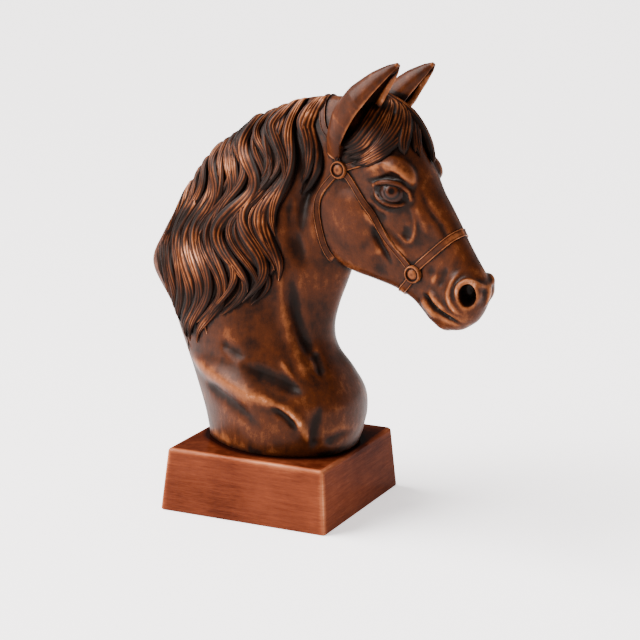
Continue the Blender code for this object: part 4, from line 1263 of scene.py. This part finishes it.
def button_group():
    """Sets a button on each point, facing along its up attribute."""
    g, inputs = new_group("Buttons", {"Button": "Object", "Radius": "Float", "Height": "Float",
                                      "Material": "Material"})
    shape = g.node("GeometryNodeObjectInfo", {}, Object=inputs["Button"]).outputs["Geometry"]
    turn = g.node("FunctionNodeAlignRotationToVector", {"axis": "Z"}, Vector=named(g, "up", "FLOAT_VECTOR"))
    size = g.node("ShaderNodeCombineXYZ", {}, inputs["Radius"], inputs["Radius"], inputs["Height"]).outputs[0]
    buttons = g.node("GeometryNodeInstanceOnPoints", {}, Points=inputs["Geometry"], Instance=shape,
                     Rotation=turn.outputs[0], Scale=size).outputs[0]
    return end_group(g, buttons, inputs["Material"])


def new_object(name, points, edges, faces=()):
    mesh = bpy.data.meshes.new(name)
    mesh.from_pydata(points, edges, faces)
    obj = bpy.data.objects.new(name, mesh)
    bpy.context.scene.collection.objects.link(obj)
    return obj


def along_paths(name, paths, group, **given):
    """A mesh that a node group makes along paths. Each path is (points, ups, half widths, seed)."""
    starts = np.cumsum([0] + [len(points) for points, *_ in paths])
    edges = [(i, i + 1) for a, b in zip(starts, starts[1:]) for i in range(a, b - 1)]
    obj = new_object(name, to_world(np.concatenate([p for p, *_ in paths])).tolist(), edges)
    ups = obj.data.attributes.new("up", "FLOAT_VECTOR", "POINT")
    ups.data.foreach_set("vector", np.concatenate([u for _, u, *_ in paths]).astype(np.float32).ravel())
    put_attribute(obj, "width", np.concatenate([w for _, _, w, _ in paths]) * SHARE)
    put_attribute(obj, "along", np.concatenate([np.linspace(0, 1, len(p)) for p, *_ in paths]))
    put_attribute(obj, "seed", np.concatenate([np.full(len(p), s) for p, _, _, s in paths]))
    modifier = obj.modifiers.new(group.name, "NODES")
    modifier.node_group = group
    for item in group.interface.items_tree:
        if item.in_out == "INPUT" and item.name in given:
            modifier[item.identifier] = given[item.name]
    apply_modifiers(obj)
    if not obj.data.polygons:
        raise RuntimeError(f"the {name} came out empty")
    obj.data.shade_smooth()
    return obj


def lock_widths(count, width):
    stations, taper = (0, 0.06, 0.28, 0.7, 0.9, 1), (0.3, 0.6, 1, 0.95, 0.6, 0.06)
    return 0.5 * width * np.interp(np.linspace(0, 1, count), stations, taper)


def twisted(path, ups, turn):
    """Turns the up directions about the path by the given angles."""
    forward = unit(np.gradient(path, axis=0))
    across = np.cross(forward, ups)
    return ups * np.cos(turn)[:, None] + across * np.sin(turn)[:, None]


def trim_back(obj):
    """Cuts the mane off flat along its back."""
    points = points_of(obj)
    a = math.radians(MANE_CUT_TURN)
    forward = np.array((math.cos(a), math.sin(a), 0.0))
    levels, backs = np.array(MANE_CUT).T
    short = np.interp(points[:, 2], levels, backs) - points @ forward
    short[(points[:, 2] > levels[-1]) | (short < 0)] = 0
    move_points(obj, points + short[:, None] * forward)


class SCULPT_OT_mane(bpy.types.Operator):
    """Grow the locks of the mane and the forelock"""

    bl_idname = "sculpt.horse_mane"
    bl_label = "Grow the mane"

    def execute(self, context):
        sizes = context.scene.hair_sizes
        tree = carved_skin()
        chance = np.random.default_rng(sizes.seed)
        twists = np.random.default_rng(sizes.seed + 1)
        locks = []
        for first, last, step, lift, width, share in ROWS:
            x = first
            while x > last:
                size = width * chance.uniform(*LOCK_STEPS)
                x -= step * size / width
                if BARE[0] < x < BARE[1]:
                    continue
                top = level(CREST, x)
                tip = top + (level(HEM, x) - top) * share * chance.uniform(*LOCK_LENGTHS)
                swing = level(SWING, x) * chance.uniform(*LOCK_SWINGS)
                rise = lift * chance.uniform(*LOCK_LIFTS)
                path, ups = lock_path(tree, x, tip, swing, chance.uniform(*LOCK_SHIFTS), rise, sizes.steps)
                turn = sizes.twist * np.sin(2 * math.pi * path[:, 2] / WAVE + twists.uniform(-1, 1))
                widths = lock_widths(len(path), size * twists.uniform(*LOCK_WIDTHS))
                locks.append((path, twisted(path, ups, turn), widths, len(locks) * 0.37))
        given = {"Sides": sizes.sides, "Ridges": sizes.ridges, "Groove": sizes.groove,
                 "Flatness": sizes.flatness}
        colours = context.scene.wood_colours
        given["Material"] = carved_material("Carved hair", colours, (1.0, 1.0, 0.4), 0.5, 0.04)
        group = hair_group()
        mane = along_paths("mane", locks, group, **given)
        trim_back(mane)
        dress(mane, "horse_bust")
        locks = []
        for first, last, count, width, lift in TUFTS:
            start, end = smooth_curve(first, STRAND_GUESSES), smooth_curve(last, STRAND_GUESSES)
            for i in range(count):
                guesses = start + (end - start) * (i / (count - 1))
                wave = np.sin(np.linspace(0, 2 * math.pi, STRAND_GUESSES))
                guesses[:, 0] += STRAND_WAVE * math.sin(2.2 * i) * wave
                guesses = guesses[:STRAND_GUESSES - (5 * i) % 3]
                path, ups = settled_path(tree, guesses, STRAND_POINTS, lift + 1.3 * math.cos(2.6 * i))
                widths = lock_widths(len(path), width * (1.25 + 0.3 * math.cos(1.9 * i)))
                locks.append((path, ups, widths, 0.61 * i))
        dress(along_paths("forelock", locks, group, **given), "horse_bust")
        return {"FINISHED"}


def strap_path(tree, points, side, count):
    """A path over the head through (along, above) or (along, above, out) places."""
    if len(points[0]) == 2:
        flat = smooth_curve(points, count)
        hits = [on_head(tree, *p, side) for p in flat]
        return ease(np.array([h[0] for h in hits]), 6), ease(np.array([h[1] for h in hits]), 10)
    return settled_path(tree, [(h, d, s * -side) for h, d, s in points], count, 0.0)


def noseband_path(tree, count=120):
    """Once round the nose, through the lower rosettes."""
    path, ups = [], []
    for turn in np.linspace(0, 2 * math.pi, count):
        side, above = math.sin(turn), math.cos(turn)
        along = LOWER_ROSETTE[0]
        for _ in range(3):
            start = head_point(along, NOSEBAND_MIDDLE + above * NOSEBAND_REACH, side * NOSEBAND_REACH)
            point, normal = shoot(tree, start, head_point(along, NOSEBAND_MIDDLE, 0))
            along = level(NOSEBAND, head_place(point)[1])
        path.append(point)
        ups.append(normal)
    return ease(np.array(path), 4), ease(np.array(ups), 4)


def raised(path, ups, lift):
    """A path for a node group, raised off the skin."""
    return path + ups * lift, unit(ups), np.ones(len(path)), 0.0


def strap_outline():
    """The closed outline of a strap with a raised border on both sides, as (rise, across)."""
    outline = [(b, a, 0) for a, b in STRAP_HALF] + [(b, -a, 0) for a, b in reversed(STRAP_HALF)]
    count = len(outline)
    return new_object("strap_outline", outline, [(i, (i + 1) % count) for i in range(count)])


def unit_button(count=48):
    """A round button turned from its profile, one radius wide and one rim high, facing up."""
    turn = np.linspace(0, 2 * math.pi, count, endpoint=False)
    rings = [np.stack([r * np.cos(turn), r * np.sin(turn), np.full(count, h)], 1) for r, h in BUTTON]
    return gather("button", [loft([to_drawing(ring) for ring in rings])])


class SCULPT_OT_bridle(bpy.types.Operator):
    """Lay the straps of the bridle and their rosettes on the head"""

    bl_idname = "sculpt.horse_bridle"
    bl_label = "Lay the bridle"

    def execute(self, context):
        sizes = context.scene.bridle_sizes
        tree = carved_skin()
        thick = sizes.thickness / SHARE
        straps, buttons = [], []
        for side in (-1, 1):
            for points in (CHEEK_STRAP, THROAT_STRAP, BROW_STRAP, CROWN_STRAP):
                path, ups = strap_path(tree, points, side, STRAP_POINTS)
                straps.append(raised(path, ups, thick * STRAP_LIFT))
            for place in (UPPER_ROSETTE, LOWER_ROSETTE):
                middle, normal = on_head(tree, *place, side)
                buttons.append(raised(middle[None], normal[None], thick * BUTTON_LIFT))
        noseband = raised(*noseband_path(tree), thick * NOSEBAND_LIFT)
        outline, button = strap_outline(), unit_button()
        material = carved_material("Carved straps", context.scene.wood_colours, (1.0, 1.0, 1.0), 0.0, 0.06)
        given = {"Outline": outline, "Thickness": sizes.thickness, "Material": material}
        group = strap_group()
        parts = [along_paths("straps", straps, group, Width=sizes.strap_width, **given),
                 along_paths("noseband", [noseband], group, Width=sizes.noseband_width, **given),
                 along_paths("buttons", buttons, button_group(), Button=button, Radius=sizes.button_radius,
                             Height=sizes.button_height, Material=material)]
        for helper in (outline, button):
            bpy.data.objects.remove(helper)
        obj = gather("bridle", [lifted(part) for part in parts])
        obj.data.shade_smooth()
        obj.data.set_sharp_from_angle(angle=math.radians(40))
        obj.data.materials.append(material)
        dress(obj, "horse_bust")
        return {"FINISHED"}


class SCULPT_OT_eyes(bpy.types.Operator):
    """Set the polished eyeballs, with iris and pupil"""

    bl_idname = "sculpt.horse_eyes"
    bl_label = "Set the eyes"

    def execute(self, context):
        rings = np.radians(np.linspace(1.0, 88, 60))
        around = np.linspace(0, 2 * math.pi, 72, endpoint=False)
        edge = math.asin(IRIS_RADIUS / EYEBALL_RADIUS)
        pupil = np.exp(-((rings / PUPIL) ** 4))
        depth = IRIS_DEPTH * np.exp(-((rings - edge) / IRIS_EDGE) ** 2) + PUPIL_DEPTH * pupil
        iris_edge = np.exp(-((rings - edge) / IRIS_EDGE_STAIN) ** 2)
        # painted shade on the edge of the eyeball, under the lids
        outside = np.clip((rings - OUTER_START) / OUTER_FADE, 0, 1)
        tone = EYE_TONE + IRIS_EDGE_TONE * iris_edge + PUPIL_TONE * pupil
        tone += IRIS_TONE * (rings < edge) + OUTER_PAINTED_SHADE * outside
        bodies = []
        for side in (-1, 1):
            middle, long, up, out = eye_frame(carved_skin(), side)
            gaze = unit(long * IRIS[0] + up * IRIS[1] + out * EYEBALL_RADIUS)
            right = unit(np.cross(up, gaze))
            over = np.cross(gaze, right)
            circle = right * np.cos(around)[:, None] + over * np.sin(around)[:, None]
            centre = middle - out * EYEBALL_DEPTH
            radius = EYEBALL_RADIUS - depth
            bodies.append(loft([centre + (gaze * math.cos(t) + circle * math.sin(t)) * r
                                for t, r in zip(rings, radius)]))
        obj = gather("eyes", bodies)
        obj.data.shade_smooth()
        obj.data.materials.append(eye_material(context.scene.wood_colours))
        tones = np.concatenate([np.repeat(tone, len(around)), (tone[0], tone[-1])])
        put_attribute(obj, "tone_and_painted_light", np.tile(tones, 2))
        dress(obj, "horse_bust")
        return {"FINISHED"}


class SCULPT_OT_plinth(bpy.types.Operator):
    """Turn the frame's box into the lacquered plinth"""

    bl_idname = "sculpt.horse_plinth"
    bl_label = "Make the plinth"

    def execute(self, context):
        sizes = context.scene.plinth_sizes
        base = PLINTH_HIGH[0]
        top = base - sizes.flare
        height = PLINTH_HIGH[2]
        bm = bmesh.new()
        bmesh.ops.create_cube(bm, size=2.0)
        for vert in bm.verts:
            half = top if vert.co.z > 0 else base
            vert.co = (half * vert.co.x, half * vert.co.y, height if vert.co.z > 0 else 0.0)
        low = [e for e in bm.edges if all(v.co.z < height / 2 for v in e.verts)]
        high = [e for e in bm.edges if e not in low]
        bmesh.ops.bevel(bm, geom=high, offset=sizes.edge_radius, segments=8, profile=0.5, affect="EDGES")
        low = [e for e in bm.edges if all(v.co.z < 1e-6 for v in e.verts)]
        bmesh.ops.bevel(bm, geom=low, offset=sizes.foot_radius, segments=4, profile=0.5, affect="EDGES")
        for axis in range(2):
            for k in np.linspace(-0.97, 0.97, CUTS_ACROSS):
                normal = Vector((1, 0, 0)) if axis == 0 else Vector((0, 1, 0))
                geometry = bm.verts[:] + bm.edges[:] + bm.faces[:]
                bmesh.ops.bisect_plane(bm, geom=geometry, plane_co=normal * top * k, plane_no=normal)
        for k in np.linspace(0.04, 0.96, CUTS_UP):
            geometry = bm.verts[:] + bm.edges[:] + bm.faces[:]
            bmesh.ops.bisect_plane(bm, geom=geometry, plane_co=(0, 0, height * k), plane_no=(0, 0, 1))
        mesh = bpy.data.meshes.new("plinth_block")
        bm.to_mesh(mesh)
        bm.free()
        obj = bpy.data.objects.new("plinth_block", mesh)
        context.scene.collection.objects.link(obj)
        mesh.shade_smooth()
        mesh.materials.append(plinth_material(context.scene.plinth_colours))
        places = read_vectors(mesh.vertices, "co", len(mesh.vertices))
        slope = (base - np.abs(places[:, :2])) - sizes.flare * places[:, 2:] / height
        gaps = np.sort(np.concatenate([slope, (height - places[:, 2:])], 1), 1)
        put_attribute(obj, "wear", np.clip(1 - gaps[:, 1] / WEAR_REACH, 0, 1) ** 2)
        foot = surface_of(carved_object("bust"))
        reach = [foot.find_nearest(Vector(p), SHADE_SEARCH)[3] or SHADE_SEARCH for p in places.tolist()]
        shade = np.clip(1 - np.array(reach) / SHADE_REACH, 0, 1) ** 1.5
        on_top = places[:, 2] > height - 1e-5
        put_attribute(obj, "shade", np.maximum(shade, TOP_SHADE * on_top))
        dress(obj, "plinth")
        return {"FINISHED"}


class SCULPT_OT_patina_and_painted_light(bpy.types.Operator):
    """On everything carved, paint shade into the hollows and between the parts and mark the crests for the
    finish's rubbing; on the bust, paint highlights and shade along the strokes, at the foot and round the
    eyes
    """

    bl_idname = "sculpt.horse_patina"
    bl_label = "Stain and rub"

    def execute(self, context):
        carved = [carved_object(name) for name in CREST_SCALES]
        tree = surface_of(*carved)
        skin = carved_skin()
        for obj in carved:
            # painted shade: how much of the sky each vertex sees, near and far
            near, far = (openness(obj, tree, reach) for reach in SKY_REACHES)
            put_attribute(obj, "open", SKY_SHARES[0] * near + SKY_SHARES[1] * far + SKY_SHARES[2])
            put_attribute(obj, "crest", crest_of(obj, *CREST_SCALES[obj.name]))
            tone_and_painted_light = np.zeros(len(near))
            if obj.name == "bust":
                points = points_of(obj)
                # painted highlights and painted shade along the strokes
                tone_and_painted_light = painted_stroke_light(points, skin)
                # painted shade on the foot, where the bust meets the plinth
                tone_and_painted_light -= HEM_PAINTED_SHADE[0] * np.exp(-((points[:, 2] - FOOT) / HEM_PAINTED_SHADE[1]) ** 2)
                # painted shade round each eye
                for side in (-1, 1):
                    away = np.linalg.norm(points - eye_frame(skin, side)[0], axis=1)
                    tone_and_painted_light -= EYE_PAINTED_SHADE[0] * np.exp(-(away / EYE_PAINTED_SHADE[1]) ** 4)
            put_attribute(obj, "tone_and_painted_light", tone_and_painted_light)
        return {"FINISHED"}


class SCULPT_OT_stage(bpy.types.Operator):
    """Set the floor, the lights and the camera"""

    bl_idname = "sculpt.horse_stage"
    bl_label = "Set the stage"

    def execute(self, context):
        scene = context.scene
        colours = scene.stage_colours
        corners = [(x, y, 0) for x, y in FLOOR_CORNERS]
        floor = new_object("floor", corners, [], [(0, 1, 2, 3)])
        material = bpy.data.materials.new("Pale floor")
        material.use_nodes = True
        shader = material.node_tree.nodes["Principled BSDF"]
        shader.inputs["Base Color"].default_value = (*colours.floor, 1)
        shader.inputs["Emission Color"].default_value = (*colours.glow, 1)
        shader.inputs["Emission Strength"].default_value = 1.0
        shader.inputs["Roughness"].default_value = 0.55
        floor.data.materials.append(material)
        world = bpy.data.worlds.new("Studio")
        world.use_nodes = True
        background = world.node_tree.nodes["Background"]
        background.inputs["Color"].default_value = (*colours.sky, 1)
        background.inputs["Strength"].default_value = SKY_STRENGTH
        scene.world = world
        for name, kind, place, power, size in STUDIO:
            light = bpy.data.lights.new(name, kind)
            light.energy = power
            if kind == "SUN":
                light.angle = math.radians(size)
            else:
                light.size = size
            lamp = bpy.data.objects.new(name, light)
            scene.collection.objects.link(lamp)
            lamp.location = place
            lamp.rotation_mode = "QUATERNION"
            lamp.rotation_quaternion = (Vector(place) - Vector((0, 0, LIGHTS_AIM))).to_track_quat("Z", "Y")
        a, e, r = (math.radians(v) for v in (CAMERA_AZIMUTH, CAMERA_ELEVATION, CAMERA_ROLL))
        back = Vector((math.sin(a) * math.cos(e), -math.cos(a) * math.cos(e), math.sin(e)))
        right = Vector((math.cos(a), math.sin(a), 0))
        up = back.cross(right)
        lens = bpy.data.cameras.new("camera")
        lens.lens = LENS
        lens.sensor_width = SENSOR
        lens.clip_start = 0.01
        camera = bpy.data.objects.new("camera", lens)
        scene.collection.objects.link(camera)
        level_axes = (right * math.cos(r) + up * math.sin(r), up * math.cos(r) - right * math.sin(r), back)
        place = right * CAMERA_ASIDE + up * CAMERA_ALOFT + back * CAMERA_DISTANCE
        camera.matrix_world = Matrix.Translation(place) @ Matrix(level_axes).transposed().to_4x4()
        scene.camera = camera
        return {"FINISHED"}


class SCULPT_PT_panel(bpy.types.Panel):
    bl_label = "Horse head"
    bl_idname = "SCULPT_PT_panel"
    bl_space_type = "VIEW_3D"
    bl_region_type = "UI"
    bl_category = "Horse head"

    def draw(self, context):
        for operator in OPERATORS:
            self.layout.operator(operator.bl_idname)
        for label, cls in GROUPS.items():
            for name in cls.__annotations__:
                self.layout.prop(getattr(context.scene, label), name)


OPERATORS = (SCULPT_OT_bust, SCULPT_OT_mane, SCULPT_OT_bridle, SCULPT_OT_eyes, SCULPT_OT_plinth,
             SCULPT_OT_patina_and_painted_light, SCULPT_OT_stage)
GROUPS = {"bust_sizes": BustSizes, "hair_sizes": HairSizes, "bridle_sizes": BridleSizes,
          "plinth_sizes": PlinthSizes, "wood_colours": WoodColours, "plinth_colours": PlinthColours,
          "stage_colours": StageColours}


def register():
    for cls in (*GROUPS.values(), *OPERATORS, SCULPT_PT_panel):
        bpy.utils.register_class(cls)
    for name, cls in GROUPS.items():
        setattr(bpy.types.Scene, name, bpy.props.PointerProperty(type=cls))


def unregister():
    for name in GROUPS:
        delattr(bpy.types.Scene, name)
    for cls in reversed((*GROUPS.values(), *OPERATORS, SCULPT_PT_panel)):
        bpy.utils.unregister_class(cls)


def main():
    register()
    bpy.ops.sculpt.horse_bust()
    bpy.ops.sculpt.horse_mane()
    bpy.ops.sculpt.horse_bridle()
    bpy.ops.sculpt.horse_eyes()
    bpy.ops.sculpt.horse_plinth()
    bpy.ops.sculpt.horse_patina()
    bpy.ops.sculpt.horse_stage()


if __name__ == "__main__":
    main()
